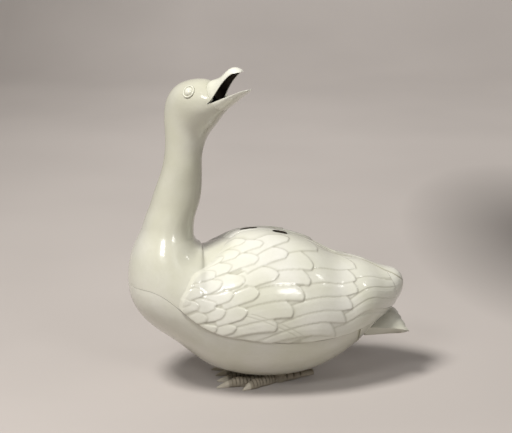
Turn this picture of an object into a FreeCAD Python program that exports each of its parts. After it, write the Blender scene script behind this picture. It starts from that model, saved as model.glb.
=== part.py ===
"""Goose-shaped incense burner in pale glazed porcelain, on unglazed feet.

The goose crouches with its breast toward -X and its tail toward +X, on the
plane z = 0. The lower half of the body is the bowl, with the tail and the two
feet. The back, the wings, the neck and the head are the cover, which lifts off
upward. Smoke leaves through the open bill and through two slits in the back.
Lengths are millimetres and angles are degrees.
"""
import FreeCAD, Part
import math
import os

Vector = FreeCAD.Vector

DRIVING_SIZES = [
    ("body_length", 224.6, "breast to the rear end of the body"),
    ("body_height", 130.5, "belly to the crest of the back"),
    ("body_width", 120.0, "widest part of the body, without the wings"),
    ("stand_height", 4.8, "floor to the lowest point of the belly"),
    ("tail_overhang", 18.0, "how far the tail reaches past the body"),
    ("wall", 5.0, "wall of the bowl, the cover and the neck"),
    ("head_wall", 4.0, "wall of the head"),
    ("seam_gap", 0.3, "clearance between the cover and the bowl"),
    ("flange_rise", 6.0, "how far the locating rim stands above the seam"),
    ("flange_root", 10.0, "how far the locating rim reaches below the seam"),
    ("flange_thickness", 3.0, "thickness of the locating rim"),
    ("flange_clearance", 0.4, "play between the locating rim and the wall round it"),
    ("neck_length", 66.0, "root of the neck to the back of the head"),
    ("neck_depth", 37.0, "neck from front to back, at half height"),
    ("neck_width", 37.0, "neck from side to side, at half height"),
    ("neck_lean", 13.7, "how far the neck leans back over its length"),
    ("head_length", 61.0, "back of the head to the root of the bill"),
    ("head_rise", 64.7, "top of the neck to the crown"),
    ("head_width", 38.0, "head from side to side"),
    ("head_turn", 45.0, "angle of the head toward the left side"),
    ("upper_bill_length", 39.5, "corner of the mouth to the upper tip"),
    ("upper_bill_depth", 14.9, "depth of the upper bill at its root"),
    ("upper_bill_width", 24.0, "width of the upper bill at its root"),
    ("upper_bill_rise", 45.0, "angle of the upper bill above the level"),
    ("lower_bill_length", 36.9, "corner of the mouth to the lower tip"),
    ("lower_bill_depth", 9.1, "depth of the lower bill at its root"),
    ("lower_bill_width", 22.8, "width of the lower bill at its root"),
    ("lower_bill_rise", 22.6, "angle of the lower bill above the level"),
    ("bill_wall", 2.4, "wall of both halves of the bill"),
    ("eye_ring_diameter", 10.0, "centre line of the raised ring round an eye"),
    ("eye_ring_thickness", 1.6, "thickness of the raised ring"),
    ("eye_diameter", 8.4, "ball of an eye"),
    ("eye_stand", 2.6, "how far an eye stands out of the head"),
    ("vent_length", 15.0, "length of a smoke slit"),
    ("vent_width", 7.0, "width of a smoke slit"),
    ("wing_thickness", 3.0, "how far a wing stands out of the cover"),
    ("feather_step", 0.7, "drop from one tier of feathers to the next"),
    ("feather_notch", 5.0, "depth of the notch between two feather tips"),
    ("wing_parting", 1.2, "groove between the folded wings"),
    ("tail_width", 46.0, "fan of the tail from side to side"),
    ("tail_root_thickness", 9.0, "tail where it leaves the bowl"),
    ("tail_edge_thickness", 3.5, "tail at its rear edge"),
    ("tail_arch", 9.0, "how far the sides of the tail droop"),
    ("foot_spacing", 24.0, "distance between the knuckles of the feet"),
    ("foot_turn", 10.0, "angle of the middle toe away from the other foot"),
    ("toe_width", 8.6, "toe at its thickest joint"),
    ("toe_height", 8.4, "toe at its thickest joint"),
    ("middle_toe_length", 57.0, "knuckle to the tip of the middle claw"),
    ("inner_toe_length", 54.5, "knuckle to the tip of the inner claw"),
    ("outer_toe_length", 40.0, "knuckle to the tip of the outer claw"),
    ("inner_toe_angle", 15.5, "angle between the middle and the inner toe"),
    ("outer_toe_angle", 19.0, "angle between the middle and the outer toe"),
    ("web_thickness", 4.0, "skin between the toes"),
    ("tarsus_length", 31.0, "knuckle to the heel"),
    ("tarsus_width", 9.6, "shank at the knuckle"),
    ("tarsus_angle", 7.0, "shank, turned toward the other foot"),
    ("heel_width", 7.5, "shank at the heel"),
    ("heel_height", 5.0, "shank at the heel, from its underside up"),
    ("heel_rise", 2.8, "floor to the underside of the heel"),
    ("leg_diameter", 11.0, "stump between the foot and the belly"),
    ("overrun", 10.0, "how far a cutting form reaches past what it cuts"),
]

doc = FreeCAD.newDocument("goose_censer")
sheet = doc.addObject("Spreadsheet::Sheet", "sizes")
for row, (alias, value, note) in enumerate(DRIVING_SIZES, start=1):
    sheet.set("A%d" % row, alias)
    sheet.set("B%d" % row, str(value))
    sheet.set("C%d" % row, note)
    sheet.setAlias("B%d" % row, alias)
doc.recompute()


def size(alias):
    """The value of a driving size."""
    return float(sheet.get(alias))


# Places that follow from the driving sizes
breast_x = -(size("body_length") + size("tail_overhang")) / 2
half_body = size("body_width") / 2

NECK_ROOT_ALONG_SHARE = 0.152
NECK_ROOT_UP_SHARE = 1.02
NECK_CUT_SHARE = -0.05
BREAST_CUT_SHARE = 0.335
HEAD_PIVOT_SHARE = 0.39

neck_root_x = breast_x + NECK_ROOT_ALONG_SHARE * size("body_length")
neck_root_z = size("stand_height") + NECK_ROOT_UP_SHARE * size("body_height")
neck_cut_z = neck_root_z + NECK_CUT_SHARE * size("neck_length")
head_base_z = neck_root_z + size("neck_length")
head_pivot_x = neck_root_x + size("neck_lean") + HEAD_PIVOT_SHARE * size("neck_depth") / 2

# The body as ovals from the rear to the root of the neck. Each row has the
# upper and the lower end of an oval (along the body from the breast, up from
# the belly), half its width, and how fully the wing covers it.
BODY_SHARES = [
    (1.000, 0.540, 0.997, 0.470, 0.150, 1.0),
    (0.970, 0.612, 0.974, 0.386, 0.350, 1.0),
    (0.926, 0.672, 0.931, 0.304, 0.517, 1.0),
    (0.870, 0.725, 0.880, 0.215, 0.667, 1.0),
    (0.802, 0.803, 0.812, 0.127, 0.800, 1.0),
    (0.723, 0.878, 0.732, 0.055, 0.908, 1.0),
    (0.633, 0.946, 0.640, 0.012, 0.975, 1.0),
    (0.539, 0.977, 0.540, 0.000, 1.000, 1.0),
    (0.446, 0.973, 0.441, 0.016, 0.983, 1.0),
    (0.361, 0.934, 0.350, 0.061, 0.942, 0.9),
    (0.292, 0.905, 0.276, 0.128, 0.900, 0.8),
    (0.281, 0.920, 0.177, 0.269, 0.870, 0.65),
    (0.270, 0.935, 0.084, 0.389, 0.810, 0.5),
    (0.262, 0.952, 0.016, 0.541, 0.733, 0.35),
    (0.256, 0.974, 0.000, 0.730, 0.642, 0.0),
    (0.253, 0.993, 0.019, 0.898, 0.550, 0.0),
]
FIRST_HOLLOW_ROW = 1
FIRST_WING_ROW = 4
LAST_WING_ROW = 13

# The folded wing tips behind the body, in the same columns
WING_TIP_SHARES = [
    (1.074, 0.618, 1.074, 0.576, 0.050),
    (1.066, 0.649, 1.066, 0.530, 0.133),
    (1.048, 0.680, 1.048, 0.477, 0.225),
    (1.017, 0.699, 1.017, 0.415, 0.333),
    (0.972, 0.722, 0.972, 0.354, 0.475),
    (0.928, 0.756, 0.928, 0.293, 0.617),
    (0.870, 0.787, 0.870, 0.201, 0.750),
]

# The neck: up, lean, half depth and half width
NECK_SHARES = [
    (0.000, 0.00, 1.222, 1.514),
    (0.167, 0.17, 1.157, 1.324),
    (0.310, 0.42, 1.130, 1.190),
    (0.485, 0.66, 1.097, 1.081),
    (0.667, 0.85, 1.000, 1.000),
    (0.864, 1.00, 0.897, 0.946),
]

# The head, in the plane that turns with it: throat end and crown end of each
# oval (forward of the pivot, up from the neck), half its width, and its turn
HEAD_SHARES = [
    (0.164, 0.005, -0.359, 0.056, 0.895, 0.20),
    (0.207, 0.159, -0.357, 0.235, 0.895, 0.45),
    (0.267, 0.270, -0.374, 0.420, 0.921, 0.70),
    (0.344, 0.351, -0.382, 0.589, 0.947, 0.90),
    (0.411, 0.416, -0.330, 0.756, 0.974, 1.00),
    (0.457, 0.470, -0.192, 0.893, 1.000, 1.00),
    (0.498, 0.518, -0.013, 0.969, 0.974, 1.00),
    (0.539, 0.560, 0.172, 1.000, 0.868, 1.00),
    (0.584, 0.603, 0.302, 0.992, 0.737, 1.00),
    (0.618, 0.635, 0.370, 0.968, 0.632, 1.00),
]
MOUTH_CORNER_SHARES = (0.472, 0.726)

# The bill, from the corner of the mouth: along the mouth line, above it,
# depth of the section and half its width
UPPER_BILL_SHARES = [
    (0.104, 0.018, 1.000, 1.000),
    (0.301, 0.053, 0.780, 0.960),
    (0.565, 0.094, 0.460, 0.880),
    (0.772, 0.096, 0.410, 0.830),
    (0.893, 0.071, 0.350, 0.740),
    (0.968, 0.025, 0.240, 0.500),
    (1.000, 0.000, 0.080, 0.210),
]
LOWER_BILL_SHARES = [
    (0.108, 0.000, 1.000, 1.000),
    (0.276, 0.003, 0.835, 0.965),
    (0.556, 0.008, 0.550, 0.877),
    (0.799, 0.013, 0.330, 0.745),
    (0.935, 0.011, 0.200, 0.480),
    (1.000, 0.000, 0.070, 0.175),
]
HOLLOW_BILL_ROWS = 5

# The seam between bowl and cover, the same on both sides: along and up
SEAM_SHARES = [
    (-0.100, 0.665),
    (-0.020, 0.680),
    (0.024, 0.687),
    (0.069, 0.692),
    (0.115, 0.668),
    (0.176, 0.592),
    (0.238, 0.503),
    (0.300, 0.443),
    (0.400, 0.395),
    (0.536, 0.362),
    (0.674, 0.351),
    (0.794, 0.360),
    (0.910, 0.392),
    (0.972, 0.420),
    (1.039, 0.475),
    (1.120, 0.580),
]

# The front edge of a wing and the feather tips that end each tier of it,
# from the seam up to the crest of the back
WING_FRONT_SHARES = [
    (0.215, 0.440),
    (0.178, 0.579),
    (0.164, 0.618),
    (0.170, 0.680),
    (0.194, 0.740),
    (0.221, 0.833),
    (0.250, 0.875),
    (0.300, 0.930),
    (0.330, 1.080),
]
FEATHER_TIER_SHARES = {
    "lesser_coverts": [
        (0.330, 0.300), (0.384, 0.497), (0.425, 0.601), (0.471, 0.715),
        (0.547, 0.814), (0.593, 0.921), (0.605, 1.080),
    ],
    "greater_coverts": [
        (0.420, 0.300), (0.524, 0.492), (0.616, 0.630), (0.665, 0.735),
        (0.680, 0.828), (0.701, 0.900), (0.676, 1.080),
    ],
    "secondaries": [
        (0.690, 0.280), (0.761, 0.423), (0.811, 0.529), (0.836, 0.612),
        (0.853, 0.690), (0.869, 0.780), (0.860, 1.080),
    ],
}
TIERS = ["lesser_coverts", "greater_coverts", "secondaries", "primaries"]

# The groove between the wings, in plan: the right wing tip crosses the left
WING_PARTING_SHARES = [(-0.05, 0.0), (0.88, 0.0), (0.95, -0.08), (1.02, -0.16), (1.12, -0.20)]
LEFT_WING_END_SHARES = [(1.030, 0.380), (1.040, 0.520), (1.032, 0.600), (0.985, 0.720), (0.950, 0.900)]

# A slit in the back: its name, its place along and across the body, its turn
VENT_SHARES = [
    ("front_vent", 0.468, 0.117, -6.0),
    ("rear_vent", 0.585, -0.033, 3.0),
]

TAIL_ROOT_SHARE = 0.905
# The tail: along, crest above the belly, droop, half width, thickness
TAIL_SHARES = [
    (0.00, 0.377, 0.45, 1.04, 1.00),
    (0.35, 0.388, 0.80, 0.96, 0.75),
    (0.70, 0.398, 1.00, 0.98, 0.42),
    (0.93, 0.385, 0.85, 0.96, 0.10),
    (1.00, 0.377, 0.55, 0.80, 0.00),
]

KNUCKLE_ALONG_SHARE = 0.576
# A toe from knuckle to claw: along, half width, height
TOE_SHARES = [
    (0.00, 0.92, 0.95),
    (0.18, 0.80, 0.84),
    (0.36, 1.00, 1.00),
    (0.50, 0.80, 0.82),
    (0.66, 0.92, 0.88),
    (0.78, 0.58, 0.60),
    (0.90, 0.34, 0.34),
    (1.00, 0.08, 0.10),
]
# The shank from knuckle to heel: along, then its blend from toe to heel size
TARSUS_SHARES = [(0.00, 0.00), (0.30, 0.25), (0.70, 0.75), (1.00, 1.00)]
# How far the round underside of a toe would reach below the floor that cuts it
SOLE_SHARE = -0.24
FORWARD = 180.0
FOOT_SPLAY = 70.0
WEB_SHARES = {"outer": 0.84, "middle": 0.78, "inner": 0.80}
WEB_HOLLOW_SHARE = 0.22
TAIL_EDGE_SHARE = 0.6
RIM_REAR_SHARE = 0.3
# An eye: forward of the pivot, up from the neck, out from the middle of the head
EYE_SHARES = (0.1885, 0.867, 0.821)
EYE_TILT = 33.0
GAPE_SPREAD = 8
HALVINGS = 50
BODY_DEGREE = 5
LIMB_DEGREE = 3


def body_point(along, up, across=0.0):
    """A point given along the body, up from the belly and across it."""
    return Vector(breast_x + along * size("body_length"), across * half_body,
                  size("stand_height") + up * size("body_height"))


def head_point(forward, up, turn=1.0):
    """A point of the head's own middle plane, which is turned with it."""
    angle = math.radians(size("head_turn") * turn)
    ahead = forward * size("head_length")
    return Vector(head_pivot_x + ahead * math.cos(angle), -ahead * math.sin(angle),
                  head_base_z + up * size("head_rise"))


def lateral(turn):
    """The direction across the head, toward its right side."""
    angle = math.radians(size("head_turn") * turn)
    return Vector(math.sin(angle), math.cos(angle), 0)


def oval_frame(upper, lower, half_width, inset, turn=0.0):
    """Centre, half-height vector, half-width vector of an oval drawn in by inset."""
    centre = (upper + lower) * 0.5
    up = upper - centre
    height = up.Length - inset
    up.normalize()
    return centre, up * height, lateral(turn) * (half_width - inset)


def oval(frame):
    """An upright oval made of a left and a right half."""
    centre, up, side = frame
    normal = up.cross(side)
    normal.normalize()
    place = FreeCAD.Matrix(up.x, side.x, normal.x, centre.x,
                           up.y, side.y, normal.y, centre.y,
                           up.z, side.z, normal.z, centre.z,
                           0, 0, 0, 1)
    circle = Part.Circle(Vector(0, 0, 0), Vector(0, 0, 1), 1)
    halves = [Part.ArcOfCircle(circle, 0, math.pi).toShape(),
              Part.ArcOfCircle(circle, math.pi, 2 * math.pi).toShape()]
    return Part.Wire(halves).transformGeometry(place)


def body_frames(first_row, inset, cover=0.0, last_row=None):
    """The ovals of the body, drawn in by a wall or swelled by a wing."""
    frames = []
    for row in BODY_SHARES[first_row:last_row]:
        swell = inset - cover * row[5]
        frames.append(oval_frame(body_point(row[0], row[1]), body_point(row[2], row[3]),
                                 row[4] * half_body, swell))
    return frames


def neck_frames(inset):
    """The level ovals of the neck."""
    frames = []
    for up, lean, depth, width in NECK_SHARES:
        middle = Vector(neck_root_x + lean * size("neck_lean"), 0,
                        neck_root_z + up * size("neck_length"))
        back = Vector(depth * size("neck_depth") / 2, 0, 0)
        frames.append(oval_frame(middle + back, middle - back,
                                 width * size("neck_width") / 2, inset))
    return frames


def head_frames(inset):
    """The ovals of the head, turning to the left as they rise."""
    frames = []
    for throat_on, throat_up, crown_on, crown_up, width, turn in HEAD_SHARES:
        frames.append(oval_frame(head_point(throat_on, throat_up, turn),
                                 head_point(crown_on, crown_up, turn),
                                 width * size("head_width") / 2, inset, turn))
    return frames


def hollow_frames(clearance):
    """The inner ovals from the rear to the bill, drawn in by a clearance."""
    inset = size("wall") + clearance
    frames = body_frames(FIRST_HOLLOW_ROW, inset) + neck_frames(inset)
    frames += head_frames(size("head_wall") + clearance)
    centre, up, side = frames[-1]
    outward = up.cross(side)
    outward.normalize()
    if outward.z < 0:
        outward = -outward
    return frames + [(centre + outward * size("head_wall"), up, side)]


def feature(name, shape):
    """A helper object that holds a shape made here."""
    item = doc.addObject("Part::Feature", name)
    item.Shape = shape
    return item


def skin(name, wires, degree=BODY_DEGREE):
    """A smooth solid drawn through closed sections."""
    return feature(name, Part.makeLoft(wires, True, False, False, degree))


def cut(name, base, *tools):
    """The base without each of the tools."""
    result = base
    for number, tool in enumerate(tools, start=1):
        step = doc.addObject("Part::Cut", "%s_cut_%d" % (name, number))
        step.Base = result
        step.Tool = tool
        result = step
    result.Label = name
    return result


def common(name, *parts):
    """What all the parts share."""
    result = parts[0]
    for number, part in enumerate(parts[1:], start=1):
        step = doc.addObject("Part::Common", "%s_common_%d" % (name, number))
        step.Base = result
        step.Tool = part
        result = step
    result.Label = name
    return result


def mirrored(name, source):
    """The same piece on the other side of the goose."""
    item = doc.addObject("Part::Mirroring", name)
    item.Source = source
    item.Normal = Vector(0, 1, 0)
    item.Label = name
    return item


def bind(item, **sizes):
    """Bind properties of an object to cells of the sheet."""
    for prop, expression in sizes.items():
        item.setExpression(prop.replace("__", "."), expression)


def extrusion(name, face, direction, expression):
    """A planar face carried both ways along a direction."""
    item = doc.addObject("Part::Extrusion", name)
    item.Base = feature(name + "_profile", face)
    item.DirMode = "Custom"
    item.Dir = direction
    item.Solid = True
    item.Symmetric = True
    item.setExpression("LengthFwd", expression)
    return item


def spline_edge(points):
    """A smooth edge through points."""
    curve = Part.BSplineCurve()
    curve.interpolate(points)
    return curve.toShape()


def closed_face(edges, *corners):
    """A planar face bounded by joined edges and straight lines through corners."""
    start = edges[0].firstVertex().Point
    end = edges[-1].lastVertex().Point
    outline = Part.makePolygon([end, *corners, start]).Edges
    return Part.Face(Part.Wire(edges + outline))


def make_forms():
    """The porcelain body: one smooth skin from rear to bill, and its hollow."""
    outer = [oval(frame) for frame in
             body_frames(0, 0.0) + neck_frames(0.0) + head_frames(0.0)]
    hollow = [oval(frame) for frame in hollow_frames(0.0)]
    return skin("outer_form", outer), skin("hollow_form", hollow)


def wing_form(tier):
    """The skin of a tier of feathers over the back, stepped down tier by tier."""
    drop = tier * size("feather_step")
    rise = (len(TIERS) - 1 - tier) * size("feather_step")
    frames = []
    for row in WING_TIP_SHARES:
        frames.append(oval_frame(body_point(row[0], row[1]), body_point(row[2], row[3]),
                                 row[4] * half_body, -rise))
    frames += body_frames(FIRST_WING_ROW, drop, size("wing_thickness"), LAST_WING_ROW + 1)
    return skin("wing_form_%d" % tier, [oval(frame) for frame in frames])


def seam_solid(name, side, shift=0.0):
    """All that lies above the seam (side 1) or below it (side -1)."""
    gap = Vector(0, 0, side * size("seam_gap") / 2 + shift)
    points = [body_point(along, up) + gap for along, up in SEAM_SHARES]
    curve = spline_edge(points)
    far_z = side * (head_base_z + size("head_rise") + size("upper_bill_length") + size("overrun"))
    face = closed_face([curve], Vector(points[-1].x, 0, far_z), Vector(points[0].x, 0, far_z))
    return extrusion(name, face, Vector(0, 1, 0), "sizes.body_width * 2")


def breast_box(name):
    """A slab of space round the breast and the root of the neck."""
    box = doc.addObject("Part::Box", name)
    bind(box, Width="sizes.body_width * 2", Height="sizes.body_height * 3")
    box.setExpression("Placement.Base.y", "-sizes.body_width")
    low = breast_x - size("overrun")
    box.Length = body_point(BREAST_CUT_SHARE, 0).x - low
    box.Placement.Base.x = low
    return box


def level_box(name, low, high):
    """A slab of space between two levels, wider than the goose."""
    box = doc.addObject("Part::Box", name)
    bind(box, Length="sizes.body_length * 2", Width="sizes.body_width * 2")
    box.Height = high - low
    box.setExpression("Placement.Base.x", "-sizes.body_length")
    box.setExpression("Placement.Base.y", "-sizes.body_width")
    box.Placement.Base.z = low
    return box


outer_form, hollow_form = make_forms()
above_seam = seam_solid("above_seam", 1)
below_seam = seam_solid("below_seam", -1)
shell = cut("shell", outer_form, hollow_form)
doc.recompute()
sky_z = head_base_z + size("head_rise") + size("upper_bill_length") + size("overrun")
body_zone = level_box("body_zone", -size("overrun"), neck_cut_z)
neck_zone = level_box("neck_zone", neck_cut_z, head_base_z)
head_zone = level_box("head_zone", head_base_z, sky_z)


seam_curve = Part.BSplineCurve()
seam_curve.interpolate([body_point(along, up) for along, up in SEAM_SHARES])


def halved(low, high, is_low):
    """The value between two bounds at which a test changes, by halving."""
    for _ in range(HALVINGS):
        middle = (low + high) / 2
        if is_low(middle):
            low = middle
        else:
            high = middle
    return low


def seam_height(x):
    """Height of the seam at a place along the body."""
    parameter = halved(seam_curve.FirstParameter, seam_curve.LastParameter,
                       lambda value: seam_curve.value(value).x < x)
    return seam_curve.value(parameter).z


def rim_point(frame):
    """Where an oval of the body crosses the seam, on its right side."""
    centre, up, side = frame

    def on_oval(angle):
        return centre + up * math.cos(angle) + side * math.sin(angle)

    def is_above(angle):
        point = on_oval(angle)
        return point.z > seam_height(point.x)

    if not is_above(0) or is_above(math.pi):
        return None
    point = on_oval(halved(0, math.pi, is_above))
    return Vector(point.x, point.y, 0)


def rim_plan(name, inset):
    """An upright form on the plan of the cover's inner rim, drawn in."""
    frames = body_frames(FIRST_HOLLOW_ROW, size("wall") + inset)
    right = [point for point in map(rim_point, frames) if point]
    left = [Vector(point.x, -point.y, 0) for point in reversed(right)]
    front = Vector(breast_x + size("wall") + inset, 0, 0)
    rear = Vector(right[0].x + right[0].y * RIM_REAR_SHARE, 0, 0)
    curve = Part.BSplineCurve()
    curve.interpolate([rear] + right + [front] + left, PeriodicFlag=True)
    face = Part.Face(Part.Wire([curve.toShape()]))
    return extrusion(name, face, Vector(0, 0, 1), "sizes.body_height * 2")


def make_bowl():
    """The lower half of the body, with the rim that locates the cover."""
    bowl = common("bowl", shell, below_seam)
    ring = cut("rim_ring", rim_plan("rim_outside", size("flange_clearance")),
               rim_plan("rim_inside", size("flange_clearance") + size("flange_thickness")))
    low = seam_solid("above_flange_root", 1, -size("flange_root"))
    high = seam_solid("below_flange_top", -1, size("flange_rise"))
    play = skin("play_form", [oval(frame) for frame in hollow_frames(size("flange_clearance"))])
    return [bowl, common("bowl_flange", ring, low, high, play)]


def arched_wire(x, crest, droop, half_width, thickness):
    """An arched section across the tail."""
    edge_thickness = thickness * TAIL_EDGE_SHARE
    side = crest - droop
    top = Part.Arc(Vector(x, -half_width, side), Vector(x, 0, crest),
                   Vector(x, half_width, side)).toShape()
    bottom = Part.Arc(Vector(x, half_width, side - edge_thickness),
                      Vector(x, 0, crest - thickness),
                      Vector(x, -half_width, side - edge_thickness)).toShape()
    right = Part.makeLine(Vector(x, half_width, side), Vector(x, half_width, side - edge_thickness))
    left = Part.makeLine(Vector(x, -half_width, side - edge_thickness), Vector(x, -half_width, side))
    return Part.Wire([top, right, bottom, left])


def make_tail():
    """The drooping fan of the tail, fixed to the rear of the bowl."""
    root_x = body_point(TAIL_ROOT_SHARE, 0).x
    length = size("body_length") * (1 - TAIL_ROOT_SHARE) + size("tail_overhang")
    wires = []
    for along, up, droop, width, thick in TAIL_SHARES:
        thickness = (size("tail_edge_thickness")
                     + thick * (size("tail_root_thickness") - size("tail_edge_thickness")))
        wires.append(arched_wire(root_x + along * length, body_point(0, up).z,
                                 droop * size("tail_arch"), width * size("tail_width") / 2,
                                 thickness))
    return [cut("tail", skin("tail_fan", wires), outer_form)]


def vent_tool(name, along, across, turn):
    """A round-ended slit through the back."""
    bar = doc.addObject("Part::Box", name + "_bar")
    bind(bar, Length="sizes.vent_length - sizes.vent_width", Width="sizes.vent_width",
         Height="sizes.wall * 6 + sizes.wing_thickness * 2")
    bind(bar, Placement__Base__x="-(sizes.vent_length - sizes.vent_width) / 2",
         Placement__Base__y="-sizes.vent_width / 2")
    ends = []
    for label, sign in (("front", "-"), ("rear", "")):
        end = doc.addObject("Part::Cylinder", "%s_%s" % (name, label))
        bind(end, Radius="sizes.vent_width / 2",
             Height="sizes.wall * 6 + sizes.wing_thickness * 2",
             Placement__Base__x=sign + "(sizes.vent_length - sizes.vent_width) / 2")
        ends.append(end)
    slit = doc.addObject("Part::MultiFuse", name)
    slit.Shapes = [bar] + ends
    place = body_point(along, 1.0, across)
    depth = size("wall") * 3
    slit.Placement = FreeCAD.Placement(place - Vector(0, 0, depth),
                                       FreeCAD.Rotation(Vector(0, 0, 1), turn))
    return slit


def feather_edge(tips):
    """A line of rounded feather tips with notches between them."""
    notches = [(one + other) * 0.5 - Vector(size("feather_notch"), 0, 0)
               for one, other in zip(tips, tips[1:])]
    edges = [Part.makeLine(tips[0], notches[0])]
    for before, tip, after in zip(notches, tips[1:], notches[1:]):
        edges.append(Part.Arc(before, tip, after).toShape())
    edges.append(Part.makeLine(notches[-1], tips[-1]))
    return edges


def ahead_of(name, edges):
    """The space in front of a line drawn on the side of the goose."""
    far_x = breast_x - size("overrun")
    low, high = edges[0].firstVertex().Point, edges[-1].lastVertex().Point
    face = closed_face(edges, Vector(far_x, 0, high.z), Vector(far_x, 0, low.z))
    return extrusion(name, face, Vector(0, 1, 0), "sizes.body_width * 2")


def side_space(name, side):
    """One side of the groove between the wings, as an upright form."""
    shift = Vector(0, side * size("wing_parting") / 2, 0)
    line = []
    for along, across in WING_PARTING_SHARES:
        point = body_point(along, 0, across) + shift
        line.append(Vector(point.x, point.y, 0))
    far_y = side * size("body_width")
    corners = [Vector(line[-1].x, far_y, 0), Vector(line[0].x, far_y, 0)]
    face = Part.Face(Part.makePolygon(line + corners + [line[0]]))
    return extrusion(name, face, Vector(0, 0, 1), "sizes.body_height * 4")


def make_wings(vents):
    """Both folded wings, each in four tiers of feathers that step down rearward."""
    left_side = side_space("left_side", -1)
    right_side = side_space("right_side", 1)
    front_points = [body_point(along, up) for along, up in WING_FRONT_SHARES]
    lines = [ahead_of("wing_front", [spline_edge(front_points)])]
    for tier in TIERS[:-1]:
        tips = [body_point(along, up) for along, up in FEATHER_TIER_SHARES[tier]]
        lines.append(ahead_of(tier + "_end", feather_edge(tips)))
    pieces = []
    for number, tier in enumerate(TIERS[:-1]):
        span = cut(tier + "_span", lines[number + 1], lines[number])
        layer = common(tier + "_layer", span, above_seam, left_side, wing_form(number))
        left = cut("left_%s_whole" % tier, layer, outer_form)
        right = mirrored("right_%s_whole" % tier, left)
        pieces += [cut("left_" + tier, left, *vents), cut("right_" + tier, right, *vents)]
    tips_form = cut("wing_tips", common("tips_above_seam", wing_form(len(TIERS) - 1), above_seam),
                    lines[-1], outer_form)
    left_end = ahead_of("left_wing_end", [spline_edge(
        [body_point(along, up) for along, up in LEFT_WING_END_SHARES])])
    pieces.append(common("left_primaries", tips_form, left_side, left_end))
    pieces.append(common("right_primaries", tips_form, right_side))
    return pieces


def mouth_line(rows, length, rise):
    """Points along one half of the mouth, from its corner."""
    corner = head_point(*MOUTH_CORNER_SHARES)
    ahead = head_point(1, 0) - head_point(0, 0)
    ahead.normalize()
    angle = math.radians(rise)
    forward = ahead * math.cos(angle) + Vector(0, 0, math.sin(angle))
    above = Vector(0, 0, math.cos(angle)) - ahead * math.sin(angle)
    points = [corner + forward * row[0] * length + above * row[1] * length for row in rows]
    return corner, forward, points


def face_direction():
    """From the throat to the crown across the root of the bill, as a unit vector."""
    row = HEAD_SHARES[-1]
    line = head_point(row[2], row[3]) - head_point(row[0], row[1])
    line.normalize()
    return line


def make_bill_half(name, rows, side):
    """One half of the bill: a trough that is hollow toward the mouth."""
    length, depth = size(name + "_length"), size(name + "_depth")
    width, wall = size(name + "_width"), size("bill_wall")
    corner, forward, points = mouth_line(rows, length, size(name + "_rise"))
    up = face_direction() * side
    across = lateral(1.0)

    def ovals(count, inset):
        return [(point, up * (row[2] * depth - inset), across * (row[3] * width / 2 - inset))
                for row, point in list(zip(rows, points))[:count]]

    solid = skin(name + "_solid", [oval(frame) for frame in ovals(None, 0.0)])
    trough_frames = ovals(HOLLOW_BILL_ROWS, wall)
    centre, high, broad = trough_frames[0]
    trough_frames.insert(0, (centre - forward * wall, high, broad))
    trough = skin(name + "_trough", [oval(frame) for frame in trough_frames])
    line = [corner] + points + [points[-1] + forward * size("overrun")]
    beyond = up * -length
    face = closed_face([spline_edge(line)], line[-1] + beyond, line[0] + beyond)
    mouth = extrusion(name + "_mouth", face, across, "sizes.head_width * 2")
    return cut(name, solid, mouth, trough, outer_form)


def make_head():
    """The head, with the corner of the open mouth cut into it."""
    corner, _, upper = mouth_line(UPPER_BILL_SHARES, size("upper_bill_length"),
                                  size("upper_bill_rise"))
    _, _, lower = mouth_line(LOWER_BILL_SHARES, size("lower_bill_length"),
                             size("lower_bill_rise"))
    far_upper = corner + (upper[0] - corner) * GAPE_SPREAD
    far_lower = corner + (lower[0] - corner) * GAPE_SPREAD
    face = Part.Face(Part.makePolygon([corner, far_upper, far_lower, corner]))
    gape = extrusion("gape", face, lateral(1.0), "sizes.head_width * 2")
    return [cut("head", common("head_skin", shell, head_zone), gape),
            make_bill_half("upper_bill", UPPER_BILL_SHARES, 1),
            make_bill_half("lower_bill", LOWER_BILL_SHARES, -1)]


def make_eye(name, side, head):
    """A domed eye inside a raised ring, on one side of the head."""
    across = lateral(1.0) * side
    tilt = math.radians(EYE_TILT)
    axis = across * math.cos(tilt) + Vector(0, 0, math.sin(tilt))
    place = (head_point(EYE_SHARES[0], EYE_SHARES[1])
             + across * (EYE_SHARES[2] * size("head_width") / 2))
    turn = FreeCAD.Rotation(Vector(0, 0, 1), axis)
    ring = doc.addObject("Part::Torus", name + "_ring_whole")
    bind(ring, Radius1="sizes.eye_ring_diameter / 2", Radius2="sizes.eye_ring_thickness / 2")
    ring.Placement = FreeCAD.Placement(place, turn)
    ball = doc.addObject("Part::Sphere", name + "_whole")
    bind(ball, Radius="sizes.eye_diameter / 2")
    sunk = size("eye_stand") - size("eye_diameter") / 2
    ball.Placement = FreeCAD.Placement(place + axis * sunk, turn)
    return [cut(name + "_ring", ring, outer_form, head), cut(name, ball, outer_form, head)]


def limb(name, start, angle, length, rows):
    """A tapered limb. Rows hold along, half width, underside and top."""
    angle = math.radians(angle)
    ahead = Vector(math.cos(angle), math.sin(angle), 0)
    across = Vector(-math.sin(angle), math.cos(angle), 0)
    wires = []
    for along, half_width, underside, top in rows:
        centre = start + ahead * along * length + Vector(0, 0, (top + underside) / 2)
        wires.append(oval((centre, Vector(0, 0, (top - underside) / 2), across * half_width)))
    return skin(name, wires, LIMB_DEGREE)


def sector(name, centre, low, high):
    """An upright wedge of space in front of a foot, between two directions."""
    far = size("middle_toe_length") * 2
    corners = [centre]
    for angle in (math.radians(low), math.radians(high)):
        corners.append(centre + Vector(math.cos(angle), math.sin(angle), 0) * far)
    face = Part.Face(Part.makePolygon(corners + [centre]))
    return extrusion(name, face, Vector(0, 0, 1), "sizes.body_height")


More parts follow.
